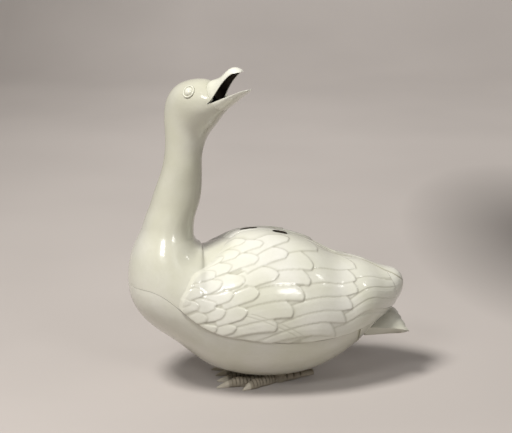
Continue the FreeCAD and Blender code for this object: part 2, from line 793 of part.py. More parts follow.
def make_left_foot():
    """The left foot: a leg stump, a shank, three toes and the skin between them."""
    floor = level_box("above_floor", 0, size("body_height"))
    knuckle = Vector(body_point(KNUCKLE_ALONG_SHARE, 0).x, -size("foot_spacing") / 2, 0)
    stump = doc.addObject("Part::Cylinder", "left_leg_whole")
    bind(stump, Radius="sizes.leg_diameter / 2", Height="sizes.stand_height + sizes.overrun",
         Placement__Base__y="-sizes.foot_spacing / 2")
    stump.Placement.Base.x = knuckle.x
    ahead = FORWARD + size("foot_turn")
    between_outer = ahead + size("outer_toe_angle") / 2
    between_inner = ahead - size("inner_toe_angle") / 2
    directions = {
        "outer": (ahead + size("outer_toe_angle"), between_outer, ahead + FOOT_SPLAY),
        "middle": (ahead, between_inner, between_outer),
        "inner": (ahead - size("inner_toe_angle"), ahead - FOOT_SPLAY, between_inner),
    }
    toe_rows = [(along, width * size("toe_width") / 2, SOLE_SHARE * height * size("toe_height"),
                 height * size("toe_height")) for along, width, height in TOE_SHARES]
    forms, toes, web_ends = [], [], []
    for toe, (turn, low, high) in directions.items():
        length = size(toe + "_toe_length")
        form = limb(toe + "_toe_form", knuckle, turn, length, toe_rows)
        space = sector(toe + "_toe_sector", knuckle, low, high)
        forms.append(form)
        toes.append(cut("left_%s_toe" % toe, common(toe + "_toe_whole", form, space, floor),
                        stump, outer_form))
        angle = math.radians(turn)
        web_ends.append(knuckle + Vector(math.cos(angle), math.sin(angle), 0)
                        * (WEB_SHARES[toe] * length))
    shank = limb("tarsus_form", knuckle, size("tarsus_angle"), size("tarsus_length"), shank_rows())
    tarsus = cut("left_tarsus", common("tarsus_whole", shank, floor), stump, outer_form)
    leg = cut("left_leg", stump, outer_form)
    return [leg, tarsus] + toes + [make_web(knuckle, web_ends, stump, outer_form, *forms)]


def shank_rows():
    """The shank, from the size of a toe on the floor to the raised heel."""
    at_knuckle = (size("tarsus_width") / 2, SOLE_SHARE * size("toe_height"), size("toe_height"))
    at_heel = (size("heel_width") / 2, size("heel_rise"), size("heel_rise") + size("heel_height"))
    rows = []
    for along, blend in TARSUS_SHARES:
        rows.append([along] + [one + blend * (other - one)
                               for one, other in zip(at_knuckle, at_heel)])
    return rows


def make_web(knuckle, ends, *neighbours):
    """The skin between the toes, with a hollow front edge between each pair."""
    edges = []
    for one, other in zip(ends, ends[1:]):
        middle = (one + other) * 0.5
        inward = (other - one).cross(Vector(0, 0, 1))
        hollow = middle + inward * math.copysign(WEB_HOLLOW_SHARE, inward.dot(knuckle - middle))
        edges.append(Part.Arc(one, hollow, other).toShape())
    plate = doc.addObject("Part::Extrusion", "left_web_whole")
    plate.Base = feature("web_outline", closed_face(edges, knuckle))
    plate.DirMode = "Custom"
    plate.Dir = Vector(0, 0, 1)
    plate.Solid = True
    plate.setExpression("LengthFwd", "sizes.web_thickness")
    return cut("left_web", plate, *neighbours)


def check(pieces):
    """Stop if an object failed or a piece is empty or broken."""
    failed = [item.Name for item in doc.Objects
              if "Invalid" in item.State or "Error" in item.State]
    broken = [item.Label for item in pieces
              if item.Shape.isNull() or not item.Shape.isValid() or not item.Shape.Solids]
    if failed or broken:
        raise RuntimeError("failed: %s, broken: %s" % (failed, broken))


def main():
    """Build every piece and write one file for each."""
    pieces = make_bowl() + make_tail()
    left_foot = make_left_foot()
    pieces += left_foot
    pieces += [mirrored(item.Label.replace("left", "right"), item) for item in left_foot]
    vents = [vent_tool(*vent) for vent in VENT_SHARES]
    cover = common("cover_skin", shell, above_seam, body_zone)
    breast = breast_box("breast_zone")
    pieces.append(cut("cover_shell", cover, breast, *vents))
    pieces.append(common("cover_breast", cover, breast))
    pieces.append(common("neck", shell, neck_zone))
    head_pieces = make_head()
    pieces += head_pieces
    pieces += make_eye("left_eye", -1, head_pieces[0]) + make_eye("right_eye", 1, head_pieces[0])
    pieces += make_wings(vents)
    doc.recompute()
    check(pieces)
    os.makedirs("parts", exist_ok=True)
    for item in pieces:
        item.Shape.exportStep("parts/%s.step" % item.Label)
        print("%-24s %2d solid(s) %10.1f mm3" % (item.Label, len(item.Shape.Solids), item.Shape.Volume))


main()
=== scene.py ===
"""Goose-shaped incense burner in pale glazed porcelain on unglazed feet.

The goose looks toward -X. Its cover carries the back, the wings, the neck and
the head, and lifts off the bowl. Lengths are metres and angles are degrees
unless a name says otherwise.
"""
import math
from collections import namedtuple

import bmesh
import bpy
import numpy as np
from bpy.props import FloatProperty, FloatVectorProperty, PointerProperty
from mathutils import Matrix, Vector
from mathutils.bvhtree import BVHTree


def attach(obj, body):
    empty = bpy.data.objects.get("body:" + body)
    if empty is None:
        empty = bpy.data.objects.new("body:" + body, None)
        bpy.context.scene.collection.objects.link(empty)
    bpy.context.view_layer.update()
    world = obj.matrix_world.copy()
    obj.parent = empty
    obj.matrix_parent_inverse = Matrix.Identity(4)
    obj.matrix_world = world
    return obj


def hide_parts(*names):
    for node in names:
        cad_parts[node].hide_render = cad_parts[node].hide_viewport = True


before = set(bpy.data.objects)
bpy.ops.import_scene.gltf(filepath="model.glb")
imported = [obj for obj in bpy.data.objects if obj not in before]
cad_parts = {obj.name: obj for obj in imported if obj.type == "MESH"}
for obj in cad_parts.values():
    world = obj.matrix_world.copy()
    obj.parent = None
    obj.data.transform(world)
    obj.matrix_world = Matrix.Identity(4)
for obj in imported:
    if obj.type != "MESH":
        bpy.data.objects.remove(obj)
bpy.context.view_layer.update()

bl_info = {
    "name": "Goose Censer",
    "version": (1, 0, 0),
    "blender": (4, 5, 0),
    "location": "View3D > Sidebar > Goose Censer",
    "description": "Builds a porcelain goose censer, its glaze and its studio",
    "category": "Object",
}

MM = 0.001

# ---------------------------------------------------------------- tables
# The body as ovals from the rear to the neck: upper end and lower end (along
# from the breast, up from the belly), half width, cover by the wing
BODY_SHARES = [
    (1.000, 0.540, 0.997, 0.470, 0.150, 1.0),
    (0.970, 0.612, 0.974, 0.386, 0.350, 1.0),
    (0.926, 0.672, 0.931, 0.304, 0.517, 1.0),
    (0.870, 0.725, 0.880, 0.215, 0.667, 1.0),
    (0.802, 0.803, 0.812, 0.127, 0.800, 1.0),
    (0.723, 0.878, 0.732, 0.055, 0.908, 1.0),
    (0.633, 0.946, 0.640, 0.012, 0.975, 1.0),
    (0.539, 0.977, 0.540, 0.000, 1.000, 1.0),
    (0.446, 0.973, 0.441, 0.016, 0.983, 1.0),
    (0.361, 0.934, 0.350, 0.061, 0.942, 0.9),
    (0.292, 0.905, 0.276, 0.128, 0.900, 0.8),
    (0.281, 0.920, 0.177, 0.269, 0.870, 0.65),
    (0.270, 0.935, 0.084, 0.389, 0.810, 0.5),
    (0.262, 0.952, 0.016, 0.541, 0.733, 0.35),
    (0.256, 0.974, 0.000, 0.730, 0.642, 0.0),
    (0.253, 0.993, 0.019, 0.898, 0.550, 0.0),
]
FIRST_HOLLOW_ROW = 1
FIRST_WING_ROW = 4
LAST_WING_ROW = 13

# The folded wing tips behind the body, in the same columns
WING_TIP_SHARES = [
    (1.074, 0.618, 1.074, 0.576, 0.050),
    (1.066, 0.649, 1.066, 0.530, 0.133),
    (1.048, 0.680, 1.048, 0.477, 0.225),
    (1.017, 0.699, 1.017, 0.415, 0.333),
    (0.972, 0.722, 0.972, 0.354, 0.475),
    (0.928, 0.756, 0.928, 0.293, 0.617),
    (0.870, 0.787, 0.870, 0.201, 0.750),
]

# The neck: up, lean, half depth and half width
NECK_SHARES = [
    (0.000, 0.00, 1.222, 1.514),
    (0.167, 0.17, 1.157, 1.324),
    (0.310, 0.42, 1.130, 1.190),
    (0.485, 0.66, 1.097, 1.081),
    (0.667, 0.85, 1.000, 1.000),
    (0.864, 1.00, 0.897, 0.946),
]

# The head, in the plane that turns with it: throat end and crown end of each
# oval (forward of the pivot, up from the neck), half width, turn
HEAD_SHARES = [
    (0.164, 0.005, -0.359, 0.056, 0.895, 0.20),
    (0.207, 0.159, -0.357, 0.235, 0.895, 0.45),
    (0.267, 0.270, -0.374, 0.420, 0.921, 0.70),
    (0.344, 0.351, -0.382, 0.589, 0.947, 0.90),
    (0.411, 0.416, -0.330, 0.756, 0.974, 1.00),
    (0.457, 0.470, -0.192, 0.893, 1.000, 1.00),
    (0.498, 0.518, -0.013, 0.969, 0.974, 1.00),
    (0.539, 0.560, 0.172, 1.000, 0.868, 1.00),
    (0.584, 0.603, 0.302, 0.992, 0.737, 1.00),
    (0.618, 0.635, 0.370, 0.968, 0.632, 1.00),
]
MOUTH_CORNER_SHARES = (0.472, 0.726)
HEAD_MIDDLE_SHARES = (0.35, 0.8)

# The bill, from the corner of the mouth: along the mouth line, above it,
# depth of the section and half its width
UPPER_BILL_SHARES = [
    (0.104, 0.018, 1.000, 1.000),
    (0.301, 0.053, 0.780, 0.960),
    (0.565, 0.094, 0.460, 0.880),
    (0.772, 0.096, 0.410, 0.830),
    (0.893, 0.071, 0.350, 0.740),
    (0.968, 0.025, 0.240, 0.500),
    (1.000, 0.000, 0.080, 0.210),
]
LOWER_BILL_SHARES = [
    (0.108, 0.000, 0.980, 0.980),
    (0.276, 0.003, 0.830, 0.965),
    (0.556, 0.008, 0.550, 0.877),
    (0.799, 0.013, 0.330, 0.745),
    (0.935, 0.011, 0.220, 0.490),
    (1.000, 0.000, 0.100, 0.210),
]

# A half of the bill: its table, its length, rise of the mouth line in degrees,
# depth and width at its root, side of the mouth line, reach back into the head,
# shift toward the left
Bill = namedtuple("Bill", "rows length rise depth width side reach aside")
BILLS = {
    "upper_bill": Bill(UPPER_BILL_SHARES, 0.0395, 45.0, 0.0149, 0.0176, 1, 0.005, 0.0026),
    "lower_bill": Bill(LOWER_BILL_SHARES, 0.0369, 22.6, 0.0091, 0.0228, -1, 0.012, 0.0),
}
BILL_ROOT_SHARE = 0.72
# The trough in a bill: wall, length, least depth and least width
TROUGH_WALL_SHARE, TROUGH_LENGTH_SHARE = 0.45, 0.965
TROUGH_DEPTH_SHARE, TROUGH_WIDTH_SHARE = 0.30, 0.45

# The seam between bowl and cover: along and up
SEAM_SHARES = [
    (-0.100, 0.665), (-0.020, 0.680), (0.024, 0.687), (0.069, 0.692),
    (0.115, 0.668), (0.176, 0.592), (0.238, 0.503), (0.300, 0.443),
    (0.400, 0.395), (0.536, 0.362), (0.674, 0.351), (0.794, 0.360),
    (0.910, 0.392), (0.972, 0.420), (1.039, 0.475), (1.120, 0.580),
]

# The front edge of a wing, from the seam up to the crest, and the rear edge
# of the left one
WING_FRONT_SHARES = [
    (0.215, 0.440), (0.178, 0.579), (0.164, 0.618), (0.170, 0.680),
    (0.194, 0.740), (0.223, 0.833), (0.254, 0.875), (0.305, 0.930),
    (0.340, 1.080),
]
LEFT_WING_END_SHARES = [
    (1.030, 0.380), (1.040, 0.520), (1.032, 0.600), (0.985, 0.720), (0.950, 0.900),
]
# How far past the crest the right wing reaches: along the body, degrees
PARTING = [(0.00, 0.0), (0.86, 0.0), (0.95, -10.0), (1.02, -31.0), (1.074, -60.0)]

# A slit in the back: place along and across the body, turn
VENT_SHARES = [(0.468, 0.117, -6.0), (0.585, -0.033, 3.0)]
# Radius of its ends and half its straight length, and where the cut starts
VENT_RADIUS, VENT_STRAIGHT = 0.0035, 0.004
VENT_FLOOR_SHARE, VENT_REACH = 0.72, 0.06

# The tail: along, crest above the belly, droop, half width, thickness
TAIL_ROOT_SHARE = 0.905
TAIL_SHARES = [
    (0.00, 0.377, 0.45, 1.04, 1.00),
    (0.35, 0.398, 0.90, 1.00, 0.95),
    (0.70, 0.418, 1.30, 1.05, 0.75),
    (0.93, 0.408, 1.38, 1.03, 0.30),
    (1.00, 0.395, 1.32, 0.96, 0.00),
]
TAIL_EDGE_SHARE = 0.6

KNUCKLE_ALONG_SHARE = 0.576
# A toe from knuckle to claw: along, half width, height
TOE_SHARES = [
    (0.00, 0.92, 0.95), (0.18, 0.80, 0.84), (0.36, 1.00, 1.00),
    (0.50, 0.84, 0.86), (0.66, 1.00, 0.96), (0.78, 0.80, 0.78),
    (0.90, 0.46, 0.46), (1.00, 0.08, 0.10),
]
TARSUS_SHARES = [(0.00, 0.00), (0.30, 0.25), (0.70, 0.75), (1.00, 1.00)]
SOLE_SHARE = -0.24
WEB_SHARES = {"outer": 0.84, "middle": 0.78, "inner": 0.80}
EYE_SHARES = (0.1885, 0.867, 0.821)
EYE_TILT = 33.0

# Feathers of the near wing as the photograph shows them, in pixels. Small
# ones: tip, length, full width. Each points rearward and a little up.
SCALE_SLOPE = 17.0
SCALES = [
    (217, 325, 18, 11), (237, 326, 20, 11), (206.7, 315, 19, 13), (225.8, 309.2, 20, 15),
    (247.9, 310, 22, 16), (198.8, 303.3, 19, 13), (215.8, 301.7, 21, 14),
    (233.8, 292.5, 22, 15), (259.6, 290.8, 26, 17), (203, 291, 22, 12),
    (221.7, 280.8, 27, 14), (245.4, 278.3, 29, 15), (278.8, 272.5, 34, 17),
    (215, 271.7, 20, 11), (232, 265.8, 24, 12), (258.8, 257.5, 27, 14),
    (287.5, 252, 30, 15), (205.8, 260.8, 18, 9), (223.3, 256.7, 20, 10),
    (240, 252.5, 23, 11), (263.3, 242.9, 25, 11), (288, 238, 27, 11),
    (246, 240.5, 20, 9), (190, 300, 12, 9), (193, 283, 15, 10),
]
# Fine incised lines low on the wing, darkened as painted shade
STROKES = [((246, 316), (298, 337)), ((251, 314), (303, 335))]
# Long ones, tier by tier: root, tip, half width
LONG_FEATHERS = [
    (2, (285, 245), (315, 246), 7.0), (2, (275, 262.5), (313, 263), 9.0),
    (2, (262, 281), (311, 279.5), 7.5), (2, (247, 301), (305, 294.5), 7.5),
    (2, (238, 319), (294, 309.5), 9.0), (2, (222, 333), (278, 325), 7.0),
    (1, (298, 259), (352, 262), 6.5), (1, (306, 277), (354, 275), 6.5),
    (1, (302, 293), (356, 285), 8.0), (1, (294, 310), (351, 300.5), 8.5),
    (1, (283, 325), (345, 315.5), 7.5), (1, (272, 338), (335, 331), 6.0),
    (0, (340, 271), (386, 270), 8.0), (0, (345, 294), (388, 280), 8.0),
    (0, (342, 309), (389, 292), 7.0), (0, (335, 322), (388, 303), 6.5),
    (0, (325, 334), (373, 320), 5.5),
]

# ---------------------------------------------------------------- settings


def metres(name, about, default):
    """A length for the panel."""
    return FloatProperty(name=name, description=about, default=default, unit="LENGTH")


def paint(name, about, default):
    """A colour for the panel."""
    return FloatVectorProperty(name=name, description=about, subtype="COLOR", size=3,
                               default=default)


class CenserBodySettings(bpy.types.PropertyGroup):
    """Sizes of the body and the tail."""
    length: metres("Length", "Breast to the rear of the body", 0.2246)
    height: metres("Height", "Belly to the crest of the back", 0.1305)
    width: metres("Width", "Widest part of the body", 0.120)
    stand: metres("Stand", "Floor to the belly", 0.0048)
    tail_overhang: metres("Tail Overhang", "Reach of the tail past the body", 0.018)
    tail_width: metres("Tail Width", "Fan of the tail", 0.046)
    wall: metres("Wall", "Wall of body and neck", 0.005)
    gap: metres("Seam Gap", "Play between bowl and cover", 0.0003)


class CenserNeckSettings(bpy.types.PropertyGroup):
    """Sizes of the neck, the head, the bill and the eyes."""
    length: metres("Neck Length", "Root of the neck to the head", 0.066)
    depth: metres("Neck Depth", "Neck from front to back", 0.037)
    width: metres("Neck Width", "Neck from side to side", 0.037)
    lean: metres("Neck Lean", "How far the neck leans back", 0.0137)
    head_length: metres("Head Length", "Back of the head to the bill", 0.061)
    head_rise: metres("Head Rise", "Top of the neck to the crown", 0.0647)
    head_width: metres("Head Width", "Head from side to side", 0.038)
    head_wall: metres("Head Wall", "Wall of the head", 0.004)
    turn: FloatProperty(name="Head Turn", description="Angle of the head toward the left",
                        default=math.radians(45), subtype="ANGLE")
    bill_wall: metres("Bill Wall", "Wall of the bill", 0.0024)


class CenserWingSettings(bpy.types.PropertyGroup):
    """Sizes of the folded wings."""
    thickness: metres("Thickness", "How far a wing stands out", 0.003)
    step: metres("Tier Step", "Drop from one tier of feathers to the next", 0.0004)
    relief: metres("Feather Relief", "Height of a feather at its tip", 0.0009)
    groove: metres("Feather Groove", "Depth of the line round a feather", 0.00022)
    parting: metres("Parting", "Groove between the wings", 0.0012)


class CenserFootSettings(bpy.types.PropertyGroup):
    """Sizes of the feet."""
    spacing: metres("Spacing", "Distance between the knuckles", 0.024)
    toe_width: metres("Toe Width", "Toe at its thickest joint", 0.0086)
    toe_height: metres("Toe Height", "Toe at its thickest joint", 0.0084)
    shank: metres("Shank Length", "Knuckle to the heel", 0.031)


class CenserLookSettings(bpy.types.PropertyGroup):
    """Colours of the ware and the studio."""
    glaze: paint("Glaze", "Colour of the glaze", (0.70, 0.69, 0.63))
    # Colour of thick pooled glaze, also used as painted shade in creases, hollows and shaded parts
    pooled: paint("Pooled Glaze", "Colour where the glaze lies thick", (0.30, 0.285, 0.20))
    biscuit: paint("Biscuit", "Colour of the unglazed feet", (0.42, 0.37, 0.29))
    # Also the colour of the walls of the slits, as painted shade with some brown of their edges
    palate: paint("Palate", "Colour inside the bill", (0.030, 0.019, 0.009))
    backdrop: paint("Backdrop", "Colour of the studio", (0.42, 0.385, 0.36))


SETTINGS = {
    "censer_body": CenserBodySettings,
    "censer_neck": CenserNeckSettings,
    "censer_wing": CenserWingSettings,
    "censer_foot": CenserFootSettings,
    "censer_look": CenserLookSettings,
}


def body():
    return bpy.context.scene.censer_body


def neck():
    return bpy.context.scene.censer_neck


# ---------------------------------------------------------------- forms


def breast_x():
    """Where the breast ends, toward -X."""
    return -(body().length + body().tail_overhang) / 2


def body_point(along, up, across=0.0):
    """A point given along the body, up from the belly and across it."""
    return np.array([breast_x() + along * body().length, across * body().width / 2,
                     body().stand + up * body().height])


NECK_ROOT_ALONG_SHARE = 0.152
NECK_ROOT_UP_SHARE = 1.02
HEAD_PIVOT_SHARE = 0.39


def neck_root():
    """Centre of the root of the neck."""
    return body_point(NECK_ROOT_ALONG_SHARE, NECK_ROOT_UP_SHARE)


def head_point(forward, up, turn=1.0, across=0.0):
    """A point of the head, which turns with it."""
    angle = neck().turn * turn
    pivot = neck_root() + [neck().lean + HEAD_PIVOT_SHARE * neck().depth / 2, 0, neck().length]
    ahead = forward * neck().head_length
    return pivot + [ahead * math.cos(angle), -ahead * math.sin(angle), up * neck().head_rise] \
        + lateral(turn) * across


def lateral(turn):
    """The direction across the head, toward its right side."""
    angle = neck().turn * turn
    return np.array([math.sin(angle), math.cos(angle), 0.0])


def ring(upper, lower, half_width, inset, turn=0.0):
    """An oval as one row of numbers: centre, upward radius, sideways radius."""
    centre = (upper + lower) / 2
    up = upper - centre
    height = np.linalg.norm(up)
    return np.concatenate([centre, up * (height - inset) / height,
                           lateral(turn) * (half_width - inset)])


def body_ring(row, inset):
    """An oval from the ends and the half width in a row of a table."""
    return ring(body_point(*row[:2]), body_point(*row[2:4]), row[4] * body().width / 2, inset)


def body_rings(first, inset, swell=0.0, last=None):
    return [body_ring(row, inset - swell * row[5]) for row in BODY_SHARES[first:last]]


def neck_rings(inset):
    rings = []
    for up, lean, depth, width in NECK_SHARES:
        middle = neck_root() + [lean * neck().lean, 0, up * neck().length]
        back = np.array([depth * neck().depth / 2, 0, 0])
        rings.append(ring(middle + back, middle - back, width * neck().width / 2, inset))
    return rings


def head_rings(inset):
    return [ring(head_point(throat_on, throat_up, turn), head_point(crown_on, crown_up, turn),
                 width * neck().head_width / 2, inset, turn)
            for throat_on, throat_up, crown_on, crown_up, width, turn in HEAD_SHARES]


def wing_tip_rings(inset=0.0):
    return [body_ring(row, inset) for row in WING_TIP_SHARES]


def soft(value, low, high):
    """0 below low and 1 above high, with a smooth rise between."""
    share = np.clip((value - low) / (high - low), 0, 1)
    return share * share * (3 - 2 * share)


def spline(knots, values):
    """A natural cubic spline through rows of values, as a function."""
    count = len(knots)
    gaps = np.diff(knots)
    matrix = np.eye(count)
    right = np.zeros_like(values)
    for i in range(1, count - 1):
        matrix[i, i - 1:i + 2] = gaps[i - 1], 2 * (gaps[i - 1] + gaps[i]), gaps[i]
        right[i] = 6 * ((values[i + 1] - values[i]) / gaps[i]
                        - (values[i] - values[i - 1]) / gaps[i - 1])
    bend = np.linalg.solve(matrix, right)

    def at(place):
        place = np.asarray(place, float)
        k = np.clip(np.searchsorted(knots, place, side="right") - 1, 0, count - 2)
        before = (place - knots[k])[..., None]
        after = (knots[k + 1] - place)[..., None]
        gap = gaps[k][..., None]
        return ((bend[k] * after ** 3 + bend[k + 1] * before ** 3) / (6 * gap)
                + (values[k] / gap - bend[k] * gap / 6) * after
                + (values[k + 1] / gap - bend[k + 1] * gap / 6) * before)
    return at


class Form:
    """A smooth tube through ovals. A place on it is a distance and an angle."""

    def __init__(self, rings):
        rings = np.array(rings)
        ends = [rings[:, :3] + rings[:, 3:6], rings[:, :3] - rings[:, 3:6],
                rings[:, :3] + rings[:, 6:9]]
        steps = sum(np.linalg.norm(np.diff(end, axis=0), axis=1) for end in ends) / len(ends)
        self.knots = np.concatenate([[0.0], np.cumsum(steps)])
        self.at = spline(self.knots, rings)

    def points(self, place, angle):
        """Points for rows of places and, in each row, angles from the crest."""
        row = self.at(place)[:, None, :]
        angle = np.broadcast_to(angle, (len(place), np.shape(angle)[-1]))[..., None]
        return row[..., :3] + row[..., 3:6] * np.cos(angle) + row[..., 6:9] * np.sin(angle)


def seam_curve():
    """Height of the seam as a function of the place along X."""
    points = np.array([body_point(along, up) for along, up in SEAM_SHARES])
    curve = spline(points[:, 0], points[:, 2:3])
    return lambda x: curve(np.clip(x, points[0, 0], points[-1, 0]))[..., 0]


def seam_angle(form, place, lift):
    """The angle at which each ring meets the seam, or a half turn if it doesn't."""
    seam = seam_curve()
    low, high = np.zeros(len(place)), np.full(len(place), math.pi)
    for _ in range(44):
        middle = (low + high) / 2
        point = form.points(place, middle[:, None])[:, 0]
        above = point[:, 2] > seam(point[:, 0]) + lift
        low, high = np.where(above, middle, low), np.where(above, high, middle)
    return high


def touches(form, lift):
    """Places where the lowest point of a ring just touches the seam."""
    seam = seam_curve()
    place = np.linspace(form.knots[0], form.knots[-1], 6000)
    bottom = form.points(place, np.array([[math.pi]]))[:, 0]
    over = bottom[:, 2] - seam(bottom[:, 0]) - lift
    found = []
    for i in np.nonzero(np.diff(np.sign(over)))[0]:
        share = over[i] / (over[i] - over[i + 1])
        found.append(place[i] + share * (place[i + 1] - place[i]))
    return found


def stations(first, last, count, near):
    """Places from first to last, closer together around the touching places."""
    even = np.linspace(first, last, count)
    spacing = (last - first) / count
    close = []
    for touch in near:
        for k in range(-8, 9):
            close.append(touch + math.copysign(3 * spacing * (k / 8) ** 2, k))
    close = [c for c in close if first <= c <= last]
    even = [e for e in even if all(abs(e - touch) > 3.2 * spacing for touch in near)]
    return np.unique(np.round(np.array(even + close + [first, last]), 9))


# ---------------------------------------------------------------- meshes


CREASE, FOOT_CREASE, SOFT_CREASE = 38.0, 50.0, 60.0


def add_grid(bm, points, **values):
    """A grid of faces through rows of points, with named values for its material."""
    layers = bm.verts.layers.float
    for name in values:
        if name not in layers.keys():
            layers.new(name)
    rows, columns = points.shape[:2]
    made = bmesh.ops.create_grid(bm, x_segments=columns - 1, y_segments=rows - 1,
                                 size=1.0)["verts"]
    for vert, place in zip(made, points.reshape(-1, 3)):
        vert.co = place
    for name, value in values.items():
        layer = layers[name]
        for vert, one in zip(made, np.broadcast_to(value, (rows, columns)).ravel()):
            vert[layer] = one
    return made


def add_pole(points, pole=None, end=-1):
    """Close rows of points at their end, -1, or their start, 0, with a row at one point."""
    pole = points[end].mean(axis=0) if pole is None else pole
    row = np.broadcast_to(pole, points[:1].shape)
    return np.concatenate([points, row] if end else [row, points])


def finish_mesh(bm, name, crease=CREASE):
    """A mesh object with smooth faces and edges that are sharp where they turn much."""
    bmesh.ops.recalc_face_normals(bm, faces=bm.faces)
    for face in bm.faces:
        face.smooth = True
    for edge in bm.edges:
        edge.smooth = edge.calc_face_angle(0.0) < math.radians(crease)
    mesh = bpy.data.meshes.new(name)
    bm.to_mesh(mesh)
    bm.free()
    made = bpy.data.objects.new(name, mesh)
    bpy.context.scene.collection.objects.link(made)
    return made


def weld(bm, verts=None):
    bmesh.ops.remove_doubles(bm, verts=verts or bm.verts, dist=2e-6)
    loose = [v for v in bm.verts if not v.link_faces]
    bmesh.ops.delete(bm, geom=loose, context="VERTS")


def rim_loops(bm):
    """Each open rim as its vertices in order."""
    open_edges = {e for e in bm.edges if e.is_boundary}
    loops = []
    while open_edges:
        edge = open_edges.pop()
        loop = [edge.verts[0], edge.verts[1]]
        while True:
            following = next((e for e in loop[-1].link_edges if e in open_edges), None)
            if following is None:
                break
            open_edges.remove(following)
            loop.append(following.other_vert(loop[-1]))
        loops.append(loop[:-1] if loop[-1] == loop[0] else loop)
    return loops


def zip_rims(bm, one, other):
    """Close the strip between two rims that run side by side."""
    start = min(range(len(other)), key=lambda k: (other[k].co - one[0].co).length)
    other = other[start:] + other[:start]
    probe, k = one[len(one) // 8].co, len(other) // 8
    if (other[k].co - probe).length > (other[-k].co - probe).length:
        other = other[:1] + other[:0:-1]
    one, other = one + one[:1], other + other[:1]
    i = j = 0
    while i < len(one) - 1 or j < len(other) - 1:
        ahead = (one[i + 1].co - other[j].co).length if i < len(one) - 1 else math.inf
        level = (other[j + 1].co - one[i].co).length if j < len(other) - 1 else math.inf
        if ahead <= level:
            bm.faces.new((one[i], one[i + 1], other[j]))
            i += 1
        else:
            bm.faces.new((one[i], other[j + 1], other[j]))
            j += 1


def rim_middle(loop):
    return sum((vert.co for vert in loop), Vector()) / len(loop)


def bridge_rims(bm):
    """Join the open rims in pairs, each with the nearest other one."""
    loops = rim_loops(bm)
    while loops:
        one = loops.pop(0)
        middle = rim_middle(one)
        other = min(loops, key=lambda loop: (rim_middle(loop) - middle).length)
        loops.remove(other)
        zip_rims(bm, one, other)


def finish_piece(made, materials, body_name, nodes):
    """Give a piece its materials, its body and the nodes it stands for."""
    for one in materials:
        made.data.materials.append(one)
    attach(made, body_name)
    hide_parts(*nodes)


# How far from the corner of the mouth its lining reaches, how steep the wall of a
# slit is at least, and how far a face of that wall may be off its outline
LINING_REACH, WALL_SLOPE, WALL_PLAY = 0.028, 0.5, 0.0002


def carve(made, tool):
    """Cut a closed tool out of a piece, give the mouth the dark palate colour and the walls of the
    slits the same colour as painted shade, and remove the tool.
    """
    cut = made.modifiers.new("cut", "BOOLEAN")
    cut.operation = "DIFFERENCE"
    cut.solver = "EXACT"
    cut.object = tool
    bpy.context.view_layer.update()
    shape = made.evaluated_get(bpy.context.evaluated_depsgraph_get())
    result = bpy.data.meshes.new_from_object(shape)
    made.modifiers.clear()
    corner, middle = (Vector(head_point(*shares))
                      for shares in (MOUTH_CORNER_SHARES, HEAD_MIDDLE_SHARES))
    for face in result.polygons:
        place, normal = face.center, face.normal
        in_mouth = (place - corner).length < LINING_REACH and normal.dot(middle - place) > 0
        # The walls of the slits take the dark palate colour: painted shade, with some brown of
        # their edges
        if in_mouth or abs(normal.z) < WALL_SLOPE and any(in_slit(place, vent)
                                                          for vent in VENT_SHARES):
            face.material_index = 1
    old, made.data = made.data, result
    bpy.data.meshes.remove(old)
    bpy.data.objects.remove(tool, do_unlink=True)


def prism(bm, outline, direction):
    """A closed straight form between an outline and the same outline moved on."""
    low = [bm.verts.new(p) for p in outline]
    high = [bm.verts.new(Vector(p) + Vector(direction)) for p in outline]
    bm.faces.new(low)
    bm.faces.new(high)
    for i in range(len(low)):
        j = (i + 1) % len(low)
        bm.faces.new((low[i], low[j], high[j], high[i]))


def vent_outline(along, across, turn, steps=32):
    """The outline of a round-ended slit, below the back."""
    middle = body_point(along, VENT_FLOOR_SHARE, across)
    lean = math.radians(turn)
    points = []
    for k in range(steps):
        angle = 2 * math.pi * (k + 0.5) / steps
        x = VENT_RADIUS * math.cos(angle) + math.copysign(VENT_STRAIGHT, math.cos(angle))
        y = VENT_RADIUS * math.sin(angle)
        points.append(middle + [x * math.cos(lean) - y * math.sin(lean),
                                x * math.sin(lean) + y * math.cos(lean), 0])
    return points


def in_slit(place, vent):
    """Whether a place is on the wall of a slit."""
    middle = body_point(vent[0], VENT_FLOOR_SHARE, vent[1])
    lean = math.radians(vent[2])
    x, y = place.x - middle[0], place.y - middle[1]
    ahead = x * math.cos(lean) + y * math.sin(lean)
    aside = y * math.cos(lean) - x * math.sin(lean)
    from_edge = math.hypot(max(abs(ahead) - VENT_STRAIGHT, 0), aside) - VENT_RADIUS
    return abs(from_edge) < WALL_PLAY


def vent_tool(vents):
    bm = bmesh.new()
    for vent in vents:
        prism(bm, vent_outline(*vent), (0, 0, VENT_REACH))
    return finish_mesh(bm, "vent_tool")


# ---------------------------------------------------------------- looks


def feed(tree, node, inputs):
    """Link each input of a node to a socket, or give it a value."""
    for name, value in inputs.items():
        if isinstance(value, bpy.types.NodeSocket):
            tree.links.new(value, node.inputs[name])
        else:
            node.inputs[name].default_value = value


def add_node(tree, kind, inputs=None, **properties):
    node = tree.nodes.new(kind)
    for name, value in properties.items():
        setattr(node, name, value)
    feed(tree, node, inputs or {})
    return node


def object_place(tree):
    return add_node(tree, "ShaderNodeTexCoord").outputs["Object"]


def attribute(tree, name):
    return add_node(tree, "ShaderNodeAttribute", attribute_name=name).outputs["Fac"]


def noise(tree, vector, scale, detail=2.0, rough=0.5):
    return add_node(tree, "ShaderNodeTexNoise", {
        "Vector": vector, "Scale": scale, "Detail": detail, "Roughness": rough}).outputs["Fac"]


def remap(tree, value, low, high, to_low=0.0, to_high=1.0):
    return add_node(tree, "ShaderNodeMapRange", {
        "Value": value, "From Min": low, "From Max": high, "To Min": to_low,
        "To Max": to_high}).outputs["Result"]


